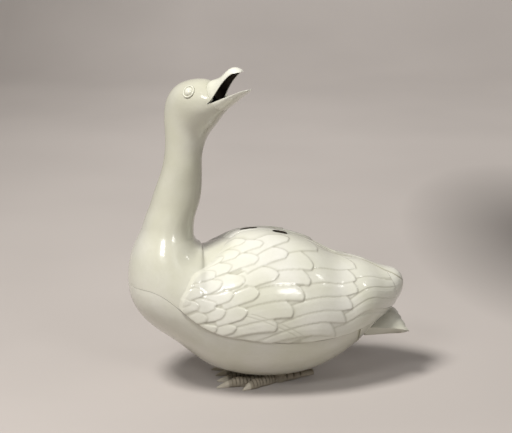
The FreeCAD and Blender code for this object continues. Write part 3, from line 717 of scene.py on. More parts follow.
def blend(tree, factor, one, other, kind="MIX"):
    """Mix two colours. Each may be a socket or a colour."""
    return add_node(tree, "ShaderNodeMix", {0: factor, 6: one, 7: other}, data_type="RGBA",
                    blend_type=kind).outputs[2]


def maths(tree, operation, one, other):
    return add_node(tree, "ShaderNodeMath", {0: one, 1: other}, operation=operation).outputs[0]


def new_group(name, inputs):
    """A group for a surface, whose inputs are colours or numbers like their defaults."""
    group = bpy.data.node_groups.new(name, "ShaderNodeTree")
    for label, value in inputs.items():
        kind = "NodeSocketColor" if isinstance(value, tuple) else "NodeSocketFloat"
        group.interface.new_socket(label, in_out="INPUT", socket_type=kind).default_value = value
    for label in ("Color", "Roughness", "Height"):
        kind = "NodeSocketColor" if label == "Color" else "NodeSocketFloat"
        group.interface.new_socket(label, in_out="OUTPUT", socket_type=kind)
    return group, group.nodes.new("NodeGroupInput").outputs, group.nodes.new("NodeGroupOutput")


WARM_SHARES, SPECK = (0.90, 0.905, 0.83, 1), (0.52, 0.52, 0.42, 1)
# Darker patches at random, then the darkest colour of the feet, for darker hollows and painted
# shadow at the sole
PATCH_SHARES, DIRT = (0.52, 0.5, 0.47, 1), (0.07, 0.058, 0.042, 1)
CLAW = (0.68, 0.63, 0.52, 1)
INSIDE = (0.58, 0.53, 0.43)
GLAZE_IOR, COAT_ROUGHNESS = 1.48, 0.09


def glaze_group():
    """Thick clear glaze: darker where it pools and where shade is painted, with slow waves in its
    surface.
    """
    group, given, result = new_group("Glaze", {
        "Tint": (0.66, 0.65, 0.53, 1), "Pooled": (0.3, 0.3, 0.21, 1), "Pool": 0.0})
    place = object_place(group)
    broad = remap(group, noise(group, place, 22.0, 3.0), 0.35, 0.65)
    fine = remap(group, noise(group, place, 420.0), 0.3, 0.7)
    warm = blend(group, 1.0, given["Tint"], WARM_SHARES, "MULTIPLY")
    tint = blend(group, broad, given["Tint"], warm)
    tint = blend(group, maths(group, "MULTIPLY", fine, 0.10), tint, SPECK)
    # Pooled glaze and painted shade darken the tint toward the pooled colour
    depth = maths(group, "MULTIPLY", given["Pool"], 0.75)
    ripple = maths(group, "MULTIPLY", noise(group, place, 260.0, 1.0), 0.25)
    feed(group, result, {
        "Color": blend(group, depth, tint, given["Pooled"]),
        "Roughness": remap(group, broad, 0.0, 1.0, 0.20, 0.27),
        "Height": maths(group, "ADD", noise(group, place, 70.0, 1.0), ripple)})
    return group


def clay_group():
    """Bare fired clay: dull and grainy, darkened by an input that carries darker hollows and
    painted shadow.
    """
    group, given, result = new_group("Clay", {"Tint": (0.4, 0.33, 0.24, 1), "Dirt": 0.0})
    place = object_place(group)
    patch = remap(group, noise(group, place, 130.0, 4.0, 0.6), 0.35, 0.68)
    grain = maths(group, "MULTIPLY", noise(group, place, 1500.0, 3.0, 0.6), 0.4)
    dark = blend(group, 1.0, given["Tint"], PATCH_SHARES, "MULTIPLY")
    tint = blend(group, maths(group, "MULTIPLY", patch, 0.6), given["Tint"], dark)
    feed(group, result, {
        "Color": blend(group, maths(group, "MULTIPLY", given["Dirt"], 0.95), tint, DIRT),
        "Roughness": remap(group, patch, 0.0, 1.0, 0.85, 0.6),
        "Height": maths(group, "ADD", grain, patch)})
    return group


GROUPS = {"Glaze": glaze_group, "Clay": clay_group}


def ware(name, group, tint, bump, coat=0.0, pooled=None, claws=False, **attributes):
    """A material made of a group, a bump and a principled shader."""
    if name in bpy.data.materials:
        return bpy.data.materials[name]
    material = bpy.data.materials.new(name)
    material.use_nodes = True
    tree = material.node_tree
    tree.nodes.clear()
    skin = add_node(tree, "ShaderNodeGroup",
                    node_tree=bpy.data.node_groups.get(group) or GROUPS[group]())
    feed(tree, skin, {"Tint": (*tint, 1)})
    if pooled:
        feed(tree, skin, {"Pooled": (*pooled, 1)})
    feed(tree, skin, {label: attribute(tree, layer) for label, layer in attributes.items()})
    colour = skin.outputs["Color"]
    if claws:
        colour = blend(tree, attribute(tree, "claw"), colour, CLAW)
    raised = add_node(tree, "ShaderNodeBump", {"Height": skin.outputs["Height"],
                                               "Strength": bump[0], "Distance": bump[1]})
    shader = add_node(tree, "ShaderNodeBsdfPrincipled", {
        "Base Color": colour, "Roughness": skin.outputs["Roughness"], "IOR": GLAZE_IOR,
        "Coat Weight": coat, "Coat Roughness": COAT_ROUGHNESS,
        "Normal": raised.outputs["Normal"]})
    add_node(tree, "ShaderNodeOutputMaterial", {"Surface": shader.outputs["BSDF"]})
    return material


def look():
    return bpy.context.scene.censer_look


def glazed():
    return ware("Glazed Porcelain", "Glaze", look().glaze, (0.22, 0.0016), 0.65, look().pooled,
                Pool="pool")


def palate():
    return ware("Palate", "Clay", look().palate, (0.25, 0.0005), 0.08)


def bare():
    return ware("Bare Porcelain", "Clay", INSIDE, (0.3, 0.0003))


def biscuit():
    return ware("Biscuit", "Clay", look().biscuit, (0.7, 0.0006), claws=True, Dirt="dirt")


# ---------------------------------------------------------------- body


def outer_form():
    return Form(body_rings(0, 0.0) + neck_rings(0.0) + head_rings(0.0))


def inner_form():
    wall = body().wall
    return Form(body_rings(FIRST_HOLLOW_ROW, wall) + neck_rings(wall)
                + head_rings(neck().head_wall))


def half_grid(form, lift, count, columns, upper):
    """The part of a tube above or below the seam, with a pole at its rear end."""
    near = touches(form, lift)
    first, last = form.knots[0], form.knots[-1]
    if not upper:
        first, last = near[0], near[-1]
    place = stations(first, last, count, near)
    edge = seam_angle(form, place, lift)
    share = np.linspace(-1, 1, columns)
    if upper:
        angle = edge[:, None] * share
    else:
        angle = math.pi + (math.pi - edge[:, None]) * share
    points = form.points(place, angle)
    ends = (points[0, 0] + points[0, -1]) / 2
    if edge[0] > math.pi - 1e-4:
        ends = form.at(place[:1])[0, :3] if upper else points[0, 0]
    return add_pole(points, ends, 0)


# Rows and columns of the skins outside and inside
COVER_GRIDS = (230, 145), (120, 73)
BOWL_GRIDS = (170, 113), (90, 61)
# How much thicker and darker the glaze lies on the cover and the bowl than on the feathers; then
# painted shade that darkens the neck and the head, and from which height to which it grows
COVER_GLAZE, BOWL_GLAZE, NECK_GLAZE = 0.35, 0.2, 0.26
NECK_GLAZE_HEIGHTS = 0.130, 0.160
GAPE_HALF_WIDTH, GAPE_REACH = 0.04, 8


class CENSER_OT_body(bpy.types.Operator):
    """Build the glazed cover with its neck and head, and the bowl."""
    bl_idname = "censer.body"
    bl_label = "Body"

    def execute(self, context):
        lift = body().gap / 2
        cover = finish_mesh(self.shell(lift, COVER_GRIDS, True, COVER_GLAZE), "cover_skin")
        carve(cover, self.openings())
        finish_piece(cover, [glazed(), palate()], "cover",
                     ["cover_shell", "cover_breast", "neck", "head"])
        bowl = finish_mesh(self.shell(-lift, BOWL_GRIDS, False, BOWL_GLAZE), "bowl_skin")
        finish_piece(bowl, [glazed()], "base", ["bowl"])
        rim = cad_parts["bowl_flange"]
        rim.data.materials.clear()
        rim.data.materials.append(bare())
        return {"FINISHED"}

    def shell(self, lift, grids, upper, glaze):
        """The part of the hollow body above or below the seam."""
        bm = bmesh.new()
        skin = half_grid(outer_form(), lift, *grids[0], upper)
        # Painted shade darkens the neck and the head above a height
        add_grid(bm, skin, pool=glaze + NECK_GLAZE * soft(skin[..., 2], *NECK_GLAZE_HEIGHTS))
        add_grid(bm, half_grid(inner_form(), lift, *grids[1], upper))
        weld(bm)
        bridge_rims(bm)
        return bm

    def openings(self):
        """The two slits in the back and the gape between the halves of the bill."""
        tool = vent_tool(VENT_SHARES)
        bm = bmesh.new()
        bm.from_mesh(tool.data)
        corner = head_point(*MOUTH_CORNER_SHARES)
        side = lateral(1.0) * GAPE_HALF_WIDTH
        outline = [corner] + [corner + (mouth_line(bill)[1][0] - corner) * GAPE_REACH
                              for bill in BILLS.values()]
        prism(bm, [p - side for p in outline], tuple(2 * side))
        bmesh.ops.recalc_face_normals(bm, faces=bm.faces)
        bm.to_mesh(tool.data)
        bm.free()
        return tool


# ---------------------------------------------------------------- bill and eyes


def mouth_line(bill):
    """The direction of the mouth along a half of the bill, and points along that half."""
    corner = head_point(*MOUTH_CORNER_SHARES)
    ahead = head_point(1, 0) - head_point(0, 0)
    ahead /= np.linalg.norm(ahead)
    angle = math.radians(bill.rise)
    forward = ahead * math.cos(angle) + np.array([0, 0, math.sin(angle)])
    above = np.array([0, 0, math.cos(angle)]) - ahead * math.sin(angle)
    return forward, [corner + forward * row[0] * bill.length + above * row[1] * bill.length
                     for row in bill.rows]


def bill_rings(bill, inset):
    """Half ovals of a bill from inside the head to its tip."""
    forward, points = mouth_line(bill)
    last = HEAD_SHARES[-1]
    up = head_point(last[2], last[3]) - head_point(last[0], last[1])
    up *= bill.side / np.linalg.norm(up)
    across = lateral(1.0)
    rings = []
    for row, point in zip(bill.rows, points):
        deep, wide = row[2] * bill.depth, row[3] * bill.width / 2
        high = max(deep - inset, TROUGH_DEPTH_SHARE * deep)
        broad = max(wide - inset, TROUGH_WIDTH_SHARE * wide)
        rings.append(np.concatenate([point - across * bill.aside, up * high, across * broad]))
    root = rings[0].copy()
    root[:3] -= forward * bill.reach
    root[3:] *= BILL_ROOT_SHARE
    return [root] + rings


class CENSER_OT_bill(bpy.types.Operator):
    """Build the two halves of the open bill, glazed outside and dark inside."""
    bl_idname = "censer.bill"
    bl_label = "Bill"

    def execute(self, context):
        for name, bill in BILLS.items():
            bm = bmesh.new()
            self.sheet(bm, bill, 0.0, 1.0)
            first = len(bm.faces)
            self.sheet(bm, bill, neck().bill_wall * TROUGH_WALL_SHARE, TROUGH_LENGTH_SHARE)
            bm.faces.ensure_lookup_table()
            for face in bm.faces[first:]:
                face.material_index = 1
            weld(bm)
            bridge_rims(bm)
            finish_piece(finish_mesh(bm, name + "_shape", SOFT_CREASE), [glazed(), palate()],
                         "cover", [name])
        return {"FINISHED"}

    def sheet(self, bm, bill, inset, reach, steps=41):
        """The outside of a half of the bill, or the trough inside it."""
        form = Form(bill_rings(bill, inset))
        points = form.points(np.linspace(0, 1, steps) * form.knots[-1] * reach,
                             np.linspace(-math.pi / 2, math.pi / 2, steps))
        add_grid(bm, add_pole(points))


# Rings of thick glaze and painted shade in the hollows round an eye, and their half width, in
# millimetres
EYE_POOLS, EYE_POOL_WIDTH = (4.05, 5.75), 0.3


class CENSER_OT_eyes(bpy.types.Operator):
    """Build both eyes: a domed ball in a groove with a raised ring."""
    bl_idname = "censer.eyes"
    bl_label = "Eyes"
    # Ball, groove and ring from the middle out, and the hidden back: radius and
    # height in millimetres
    PROFILE = [(0.0, 2.75), (1.2, 2.6), (2.3, 2.15), (3.1, 1.45), (3.6, 0.7), (3.95, 0.15),
               (4.25, 0.2), (4.5, 0.6), (4.85, 0.82), (5.2, 0.72), (5.55, 0.35), (5.8, -0.3),
               (5.9, -1.6), (5.4, -3.0), (0.0, -3.0)]

    def execute(self, context):
        curve = spline(np.arange(float(len(self.PROFILE))), np.array(self.PROFILE))
        rows = curve(np.linspace(0, len(self.PROFILE) - 3, 40))
        rows = np.concatenate([rows, self.PROFILE[-2:]]) * MM
        tilt = math.radians(EYE_TILT)
        forward, up, out = EYE_SHARES
        for name, side in (("left_eye", -1), ("right_eye", 1)):
            axis = Vector(lateral(1.0) * side * math.cos(tilt)) + Vector((0, 0, math.sin(tilt)))
            place = head_point(forward, up, across=side * out * neck().head_width / 2)
            turn = axis.to_track_quat("Z", "Y")
            bm = bmesh.new()
            verts = [bm.verts.new((max(r, 0.0), 0, h)) for r, h in rows]
            edges = [bm.edges.new(pair) for pair in zip(verts, verts[1:])]
            bmesh.ops.spin(bm, geom=verts + edges, cent=(0, 0, 0), axis=(0, 0, 1),
                           angle=2 * math.pi, steps=56, use_merge=True)
            weld(bm)
            # Darker rings in the groove and where the ring meets the head: pooled glaze and
            # painted shade
            layer = bm.verts.layers.float.new("pool")
            for vert in bm.verts:
                away = math.hypot(vert.co.x, vert.co.y) / MM
                vert[layer] = max(math.exp(-((away - radius) / EYE_POOL_WIDTH) ** 2)
                                  for radius in EYE_POOLS)
                vert.co = turn @ vert.co + Vector(place)
            finish_piece(finish_mesh(bm, name + "_shape", SOFT_CREASE), [glazed()], "cover",
                         [name, name + "_ring"])
        return {"FINISHED"}


# ---------------------------------------------------------------- wings


# The chart of a wing: its reach along the body, its rows and angles, the angles
# of the flank, the rows on each side that even out its axis, how far a ray looks
# for a skin, and how far off a skin is that no ray finds
CHART_SHARES, CHART_ROWS, CHART_ANGLES = (0.13, 1.0735), 280, 241
FLANK, AXIS_SPAN = slice(80, 140), 12
RAY_REACH, SKIN_RADIUS = 0.12, 0.06
WING_TIP_ALONG_SHARE, WING_SEAM_GAP = 1.071, 0.0003


def wing_settings():
    return bpy.context.scene.censer_wing


def wing_form():
    wing = wing_settings()
    return Form(wing_tip_rings() + body_rings(FIRST_WING_ROW, 3 * wing.step, wing.thickness,
                                              LAST_WING_ROW + 1))


def form_tree(form, rows=300, columns=289):
    """A tree for casting rays onto a form."""
    points = form.points(np.linspace(form.knots[0], form.knots[-1], rows),
                         np.linspace(0, 2 * math.pi, columns))
    index = np.arange(rows * columns).reshape(rows, columns)
    quads = np.stack([index[:-1, :-1], index[:-1, 1:], index[1:, 1:], index[1:, :-1]], axis=-1)
    return BVHTree.FromPolygons(points.reshape(-1, 3).tolist(), quads.reshape(-1, 4).tolist())


def smooth_grid(values, times=1):
    """Even out a grid of numbers without moving its borders much."""
    kernel = (1, 4, 6, 4, 1)
    for _ in range(times):
        for axis in (0, 1):
            margin = [(2, 2) if side == axis else (0, 0) for side in (0, 1)]
            wide = np.pad(values, margin, mode="reflect", reflect_type="odd")
            length = values.shape[axis]
            values = sum(weight * np.take(wide, range(k, k + length), axis=axis)
                         for k, weight in enumerate(kernel)) / sum(kernel)
    return values


class WingChart:
    """Both skins as distances from a line through the body, by place and angle."""

    def __init__(self):
        self.xs = np.linspace(*(body_point(share, 0)[0] for share in CHART_SHARES), CHART_ROWS)
        self.angles = np.linspace(0, math.pi, CHART_ANGLES)
        wing = wing_form()
        rings = np.array(wing.at(wing.knots))
        order = np.argsort(rings[:, 0])
        axis = np.interp(self.xs, rings[order, 0], rings[order, 2])
        span = 2 * AXIS_SPAN + 1
        self.axis = np.convolve(np.pad(axis, AXIS_SPAN, mode="edge"), np.ones(span) / span,
                                "valid")
        self.wing_tree = form_tree(wing)
        over, under = self.table(self.wing_tree), self.table(form_tree(outer_form()))
        over = np.where(np.isnan(over), under, over)
        under = np.where(np.isnan(under), over, under)
        self.over = smooth_grid(np.nan_to_num(over, nan=SKIN_RADIUS))
        self.under = smooth_grid(np.nan_to_num(under, nan=SKIN_RADIUS))
        self.radius = self.over[:, FLANK].mean(axis=1)
        self.seam = seam_curve()

    def table(self, tree):
        found = np.full((len(self.xs), len(self.angles)), np.nan)
        rays = [(0, math.sin(a), math.cos(a)) for a in self.angles]
        for i, (x, z) in enumerate(zip(self.xs, self.axis)):
            for j, ray in enumerate(rays):
                hit = tree.ray_cast((x, 0, z), ray, RAY_REACH)[3]
                if hit is not None:
                    found[i, j] = hit
        return found

    def read(self, table, x, angle):
        """A value between the entries of a table."""
        i = np.clip((x - self.xs[0]) / (self.xs[1] - self.xs[0]), 0, len(self.xs) - 1.001)
        j = np.clip(np.abs(angle) / self.angles[1], 0, len(self.angles) - 1.001)
        a, b = i.astype(int), j.astype(int)
        u, v = i - a, j - b
        return (table[a, b] * (1 - u) * (1 - v) + table[a + 1, b] * u * (1 - v)
                + table[a, b + 1] * (1 - u) * v + table[a + 1, b + 1] * u * v)

    def axis_at(self, x):
        return np.interp(x, self.xs, self.axis)

    def angle_at_height(self, x, z, table):
        """The angle at which a skin is at a height, at one place along X."""
        reach = self.read(table, np.full(CHART_ANGLES, x), self.angles)
        heights = self.axis_at(x) + reach * np.cos(self.angles)
        return np.interp(-z, -heights, self.angles)

    def edge(self, shares, table):
        """A line drawn on the side of the goose: place along X by angle."""
        points = [body_point(along, up) for along, up in shares]
        pairs = sorted((float(self.angle_at_height(p[0], p[2], table)), p[0]) for p in points)
        angles, places = np.array(pairs).T
        return lambda angle: np.interp(np.abs(angle), angles, places)

    def seam_line(self, lift):
        found = np.array([self.angle_at_height(x, self.seam(x) + lift, self.over)
                          for x in self.xs])
        return lambda x: np.interp(x, self.xs, found)

    def flat(self, x, angle):
        """Place in millimetres on the unrolled wing."""
        return np.stack([x / MM, np.abs(angle) * np.interp(x, self.xs, self.radius) / MM], axis=-1)

    def cast(self, pixel):
        """Where a pixel of the photograph falls on the unrolled wing."""
        hit = self.wing_tree.ray_cast(*pixel_ray(pixel))[0]
        if hit is None:
            return None
        return self.flat(hit.x, math.atan2(-hit.y, hit.z - self.axis_at(hit.x)))


# Where a feather is measured back from its tip, in half widths and at most in
# pixels, and how much longer each tier's feathers are than they show
MEASURE_SHARE, MEASURE_REACH = 1.5, 12
LENGTH_SHARES = (1.5, 1.0, 1.0, 1.0)
HIDDEN_TIP_SHARE = 0.2
# A feather, in its half widths: drawn width, shift across, place of the shaft,
# rounding of the tip below and above the shaft, and how steep its sides are;
# then how blunt the tips of each tier are
DRAWN_SHARE, SHIFT_SHARE, SHAFT_SHARE = 1.18, 0.16, 0.35
ROUNDING_SHARES, SIDE_SHARE = (1.9, 0.8), 1.6
BLUNT_SHARES = (0.2, 0.24, 0.5, 1.0)
# Where a feather fades in, from its root, in lengths
ROOT_SHARES = (-0.7, -0.5)
# Heights of the crown, the shaft and the barbs, as shares of the relief
CROWN_SHARE, SHAFT_HEIGHT_SHARE, BARB_SHARE = 0.12, 0.07, 0.035
# Widths on the unrolled wing in millimetres: edge, shaft, barb, incised stroke
EDGE_WIDTH, SHAFT_WIDTH, BARB_WIDTH, STROKE_WIDTH = 0.9, 0.55, 1.7, 0.45
# How deep and dark a line is and an incised stroke, as groove and painted shadow, and the relief
# from which lines show
LINE_DEPTH, STROKE_DEPTH, LINE_HEIGHTS = 1.7, 0.8, (0.0002, 0.0005)


def feather_list(chart):
    """Tier, root, tip and half width of each feather on the unrolled wing."""
    lean = math.radians(SCALE_SLOPE)
    ahead = np.array([math.cos(lean), -math.sin(lean)])
    found = [(3, np.array([x, y]) - ahead * length, np.array([x, y]), width / 2)
             for x, y, length, width in SCALES]
    found += [(tier, np.array(root), np.array(tip), half)
              for tier, root, tip, half in LONG_FEATHERS]
    feathers = []
    for tier, root, tip, half in found:
        direction = (tip - root) / np.linalg.norm(tip - root)
        middle = tip - direction * min(half * MEASURE_SHARE, MEASURE_REACH)
        side = np.array([-direction[1], direction[0]]) * half
        start, end, centre, *sides = [chart.cast(p) for p in (root, tip, middle, middle + side,
                                                              middle - side)]
        sides = [p for p in sides if p is not None]
        if centre is None or not sides:
            continue
        if end is None:
            end = centre + (centre - start) * HIDDEN_TIP_SHARE
        if start is None:
            start = centre * 2 - end
        end = start + (end - start) * LENGTH_SHARES[tier]
        feathers.append((tier, start, end, min(np.linalg.norm(p - centre) for p in sides)))
    return feathers


def feather_height(flat, tier, root, tip, half):
    """Height of one feather over the unrolled wing, in metres, and 0 beside it."""
    wing = wing_settings()
    length = np.linalg.norm(tip - root)
    along = (tip - root) / length
    across = np.array([-along[1], along[0]])
    place = flat - root + across * half * SHIFT_SHARE
    half = half * DRAWN_SHARE
    s = place @ along
    c = place @ across / half
    below = c < SHAFT_SHARE
    lean = np.abs((c - SHAFT_SHARE) / np.where(below, 1 + SHAFT_SHARE, 1 - SHAFT_SHARE))
    rounding = half * np.where(below, *ROUNDING_SHARES) * BLUNT_SHARES[tier]
    reach = length - rounding * np.clip(lean, 0, 1.3) ** 1.8
    inside = np.minimum(reach - s, (1 - np.abs(c)) * half * SIDE_SHARE)
    mask = soft(inside, 0.0, EDGE_WIDTH) * soft(s, *(share * length for share in ROOT_SHARES))
    rise = 0.5 * np.clip(s / length, -0.4, 1) + 0.5 * (0.5 + 0.5 * np.clip(c, -1, 1))
    crown = CROWN_SHARE * (1 - c * c)
    shaft = SHAFT_HEIGHT_SHARE * np.exp(-(c * half / SHAFT_WIDTH) ** 2) * (tier < 3)
    barbs = np.cos(2 * math.pi * c * half / BARB_WIDTH) * soft(s, 0.15 * length, 0.6 * length)
    detail = 0.3 + 0.7 * rise + crown + shaft + BARB_SHARE * barbs
    return mask * (tier * wing.step + wing.relief * detail)


def feather_relief(flat, feathers, strokes):
    """Height of the overlapping feathers in metres, and the lines between them, which make grooves
    and painted shadow.
    """
    relief = np.zeros(flat.shape[:2])
    owner = np.zeros(flat.shape[:2])
    for number, feather in enumerate(feathers, start=1):
        height = feather_height(flat, *feather)
        owner = np.where(height > relief, number, owner)
        relief = np.maximum(relief, height)
    turns = np.zeros_like(relief)
    turns[1:] += owner[1:] != owner[:-1]
    turns[:, 1:] += owner[:, 1:] != owner[:, :-1]
    lines = smooth_grid(np.clip(turns, 0, 1)) * LINE_DEPTH
    lines *= soft(smooth_grid(relief), *LINE_HEIGHTS)
    for start, end in strokes:
        share = np.clip((flat - start) @ (end - start) / ((end - start) @ (end - start)), 0, 1)
        away = np.linalg.norm(flat - start - share[..., None] * (end - start), axis=-1)
        lines = np.maximum(lines, STROKE_DEPTH * np.exp(-(away / STROKE_WIDTH) ** 2))
    return relief, np.clip(lines, 0, 1)


WING_PARTS = ["lesser_coverts", "greater_coverts", "secondaries", "primaries"]
WING_GRID = 361, 185
# The angles at which the grid of a wing starts, from the seam to the crest
WING_ANGLES = 1.9, 0.02
# How wide the front of a wing runs out into the body, in millimetres, low on the
# wing and how much more on the back; how deep it dives there, in metres; and
# which shares of the way up to the crest lie between
FRONT_WIDTHS, FRONT_SHARES = (5.0, 17.0), (0.35, 0.8)
SINK_DEPTHS, SINK_SHARES = (0.0007, 0.0012), (0.4, 0.7)
# Rounding of a wing's edges, depth in metres and width in millimetres
SEAM_ROUNDING, CREST_ROUNDING, REAR_ROUNDING = (0.0013, 1.6), (0.0009, 1.2), (0.0012, 1.5)
# The bare shoulder in front of the feathers, in millimetres behind the front
SHOULDER_REACH = (-70.0, -40.0)
WING_WALL, LEAST_WALL = 0.0012, 0.0009
# Thick glaze and painted shade: everywhere, beside a feather of a given height as painted shade in
# the hollows, in a line as painted shadow along the feather edges, and on the front, which fades
# out within millimetres
POOL_BASE, POOL_BESIDE, POOL_HEIGHT, POOL_LINE = 0.04, 0.40, 0.0006, 0.42
POOL_FRONT_REACH = (1.0, 16.0)
# Painted shadow in the parting at the rear: along the body, and its edge in millimetres
PARTING_SHARES, PARTING_EDGE = (0.72, 0.84), (0.4, 1.4)
TIP_CORE_INSET = 0.0001


def rounded(away, depth, width, power=2):
    """How far a surface drops toward an edge that is some millimetres away."""
    return depth * np.clip(1 - away / width, 0, 1) ** power


class CENSER_OT_wings(bpy.types.Operator):
    """Build both folded wings with their overlapping feathers."""
    bl_idname = "censer.wings"
    bl_label = "Wings"

    def execute(self, context):
        chart = WingChart()
        feathers = feather_list(chart)
        front = chart.edge(WING_FRONT_SHARES, chart.under)
        end = chart.edge(LEFT_WING_END_SHARES, chart.over)
        seam = chart.seam_line(WING_SEAM_GAP)
        along, angles = np.array(PARTING).T
        turns = np.array([body_point(share, 0)[0] for share in along]), np.radians(angles)
        groove = wing_settings().parting / 2 / SKIN_RADIUS
        tip = body_point(WING_TIP_ALONG_SHARE, 0)[0]
        left = front, end, seam, lambda x: groove - np.interp(x, *turns)
        right = (front, lambda angle: np.full(np.shape(angle), tip), seam,
                 lambda x: groove + np.interp(x, *turns))
        self.panel("left_wing", chart, feathers, -1, left, VENT_SHARES[1:],
                   ["left_" + part for part in WING_PARTS])
        self.panel("right_wing", chart, feathers, 1, right, VENT_SHARES,
                   ["right_" + part for part in WING_PARTS[:-1]])
        self.tip_lobe()
        return {"FINISHED"}

    def spread(self, front, end, low, high):
        """Places along X and angles of a grid between the four edges of a wing."""
        rows, columns = WING_GRID
        u = np.linspace(0, 1, rows)[:, None]
        v = np.linspace(0, 1, columns)[None, :]
        angle = WING_ANGLES[0] + (WING_ANGLES[1] - WING_ANGLES[0]) * v
        angle = np.broadcast_to(angle, WING_GRID)
        for _ in range(12):
            x = front(angle) + (end(angle) - front(angle)) * u
            angle = 0.5 * angle + 0.5 * (low(x) + (high(x) - low(x)) * v)
        x = smooth_grid(x)
        return x, low(x) + (high(x) - low(x)) * v, v

    def panel(self, name, chart, feathers, side, edges, vents, nodes):
        """Build one wing between its front, its rear end, the seam and the crest."""
        wing = wing_settings()
        front, end, low, high = edges
        x, angle, v = self.spread(*edges)
        flat = chart.flat(x, angle)
        strokes = [(chart.cast(one), chart.cast(other)) for one, other in STROKES]
        relief, lines = feather_relief(flat, feathers, strokes)
        relief = smooth_grid(relief) - lines * wing.groove
        over = smooth_grid(chart.read(chart.over, x, angle), 3)
        under = smooth_grid(chart.read(chart.under, x, angle), 3)
        ahead = (x - front(angle)) / MM
        behind = (end(angle) - x) / MM
        seam_away = np.abs(angle - low(x)) * over / MM
        crest_away = np.abs(angle - high(x)) * over / MM
        width = FRONT_WIDTHS[0] + FRONT_WIDTHS[1] * soft(v, *FRONT_SHARES)
        cover = soft(ahead, 0.0, width) ** 1.5
        shoulder = 3 * wing.step * soft(-ahead, *SHOULDER_REACH)
        base = np.maximum(relief, shoulder * (relief < shoulder))
        sink = SINK_DEPTHS[0] + SINK_DEPTHS[1] * soft(v, *SINK_SHARES)
        top = under - sink + cover * (over + base + sink - under)
        depth, reach = SEAM_ROUNDING
        top -= depth * (1 - np.sqrt(np.clip(1 - rounded(seam_away, 1, reach), 0, 1)))
        top -= rounded(crest_away, *CREST_ROUNDING) + rounded(behind, *REAR_ROUNDING)
        bottom = np.minimum(np.minimum(under, over) - WING_WALL, top - LEAST_WALL)
        # Pooled glaze and painted shade: darker in hollows beside higher feathers and along the
        # lines between feathers
        beside = (smooth_grid(relief, 14) - relief) / POOL_HEIGHT
        pool = np.clip(POOL_BASE + POOL_BESIDE * beside + POOL_LINE * lines, 0, 1) * cover
        pool = np.maximum(pool, COVER_GLAZE * (1 - soft(ahead, *POOL_FRONT_REACH)))
        # Painted shadow along the parting between the wings at the rear
        rear = soft(x, *(body_point(share, 0)[0] for share in PARTING_SHARES))
        pool = np.maximum(pool, rear * (1 - soft(crest_away, *PARTING_EDGE)))
        bm = bmesh.new()
        add_grid(bm, self.place(chart, x, angle, top, side), pool=pool)
        add_grid(bm, self.place(chart, x, angle, bottom, side)[::4, ::4])
        bridge_rims(bm)
        made = finish_mesh(bm, name)
        carve(made, vent_tool(vents))
        finish_piece(made, [glazed(), palate()], "cover", nodes)

    def place(self, chart, x, angle, distance, side):
        return np.stack([x, side * distance * np.sin(angle),
                         chart.axis_at(x) + distance * np.cos(angle)], axis=-1)

    def tip_lobe(self):
        """The rounded core of the wing tips, past the end of the near wing."""
        form = Form(wing_tip_rings(TIP_CORE_INSET))
        points = form.points(np.linspace(0, form.knots[-1], 60), np.linspace(0, 2 * math.pi, 81))
        bm = bmesh.new()
        add_grid(bm, add_pole(add_pole(points), end=0))
        weld(bm)
        finish_piece(finish_mesh(bm, "wing_tips"), [glazed()], "cover", ["right_primaries"])


# ---------------------------------------------------------------- tail


TAIL_FEATHERS = 7
# Sizes of the fan: droop of its sides, depth of a groove, least thickness and
# how much thicker it is at its root
TAIL_DROOP, TAIL_GROOVE, TAIL_EDGE, TAIL_THICKNESS = 0.009, 0.0004, 0.003, 0.0078
# How hollow its rear edge is, how deep a feather's scallop, and how much narrower
# it is below
TAIL_HOLLOW_SHARE, TAIL_SCALLOP_SHARE, TAIL_TAPER_SHARE = 0.15, 0.015, 0.16
# Painted shade over the whole tail, which lies in the shadow of the wing
TAIL_GLAZE = 0.5


class CENSER_OT_tail(bpy.types.Operator):
    """Build the drooping fan of the tail with its feather ribs."""
    bl_idname = "censer.tail"
    bl_label = "Tail"

    def execute(self, context):
        root = body_point(TAIL_ROOT_SHARE, 0)
        length = body().length * (1 - TAIL_ROOT_SHARE) + body().tail_overhang
        rows = np.array(TAIL_SHARES)
        share = np.linspace(0, 1, 60)[:, None]
        crest, droop, width, thick = np.moveaxis(spline(rows[:, 0], rows[:, 1:])(share), -1, 0)
        across = np.linspace(-1, 1, 97)[None, :]
        wave = np.abs(np.sin(across * math.pi * TAIL_FEATHERS / 2))
        scallop = 1 - TAIL_SCALLOP_SHARE * (1 - wave) * share ** 4
        hollow = 1 - TAIL_HOLLOW_SHARE * (1 - across ** 2) * share
        x = root[0] + share * length * hollow * scallop
        y = across * width * body().tail_width / 2
        top = root[2] + crest * body().height - droop * TAIL_DROOP * across ** 2
        groove = TAIL_GROOVE * (1 - wave ** 0.5) * soft(share, 0.15, 0.5)
        depth = TAIL_EDGE + np.clip(thick, 0, 1) * TAIL_THICKNESS
        depth = depth * (1 - (1 - TAIL_EDGE_SHARE) * across ** 8)
        upper = np.stack([x, y, top - groove], axis=-1)
        lower = np.stack([x, y * (1 - TAIL_TAPER_SHARE * share), top - depth], axis=-1)
        middle = np.stack([x, y, top - depth / 2], axis=-1)
        loop, cap = self.loop(upper, lower), self.loop(middle, middle)
        bm = bmesh.new()
        # The tail is darkened with painted shade
        add_grid(bm, np.concatenate([cap[:1], loop, cap[-1:]]), pool=TAIL_GLAZE)
        weld(bm)
        finish_piece(finish_mesh(bm, "tail_fan", SOFT_CREASE), [glazed()], "base", ["tail"])
        return {"FINISHED"}

    def loop(self, upper, lower):
        """Rows that run over the top and back underneath to their start."""
        return np.concatenate([upper, lower[:, ::-1], upper[:, :1]], axis=1)


# ---------------------------------------------------------------- feet

# Each toe: length and angle from the middle one
TOES = {"outer": (0.040, 19.0), "middle": (0.057, 0.0), "inner": (0.0545, -15.5)}
FOOT_HEADING = 190.0
SHANK_HEADING = 7.0
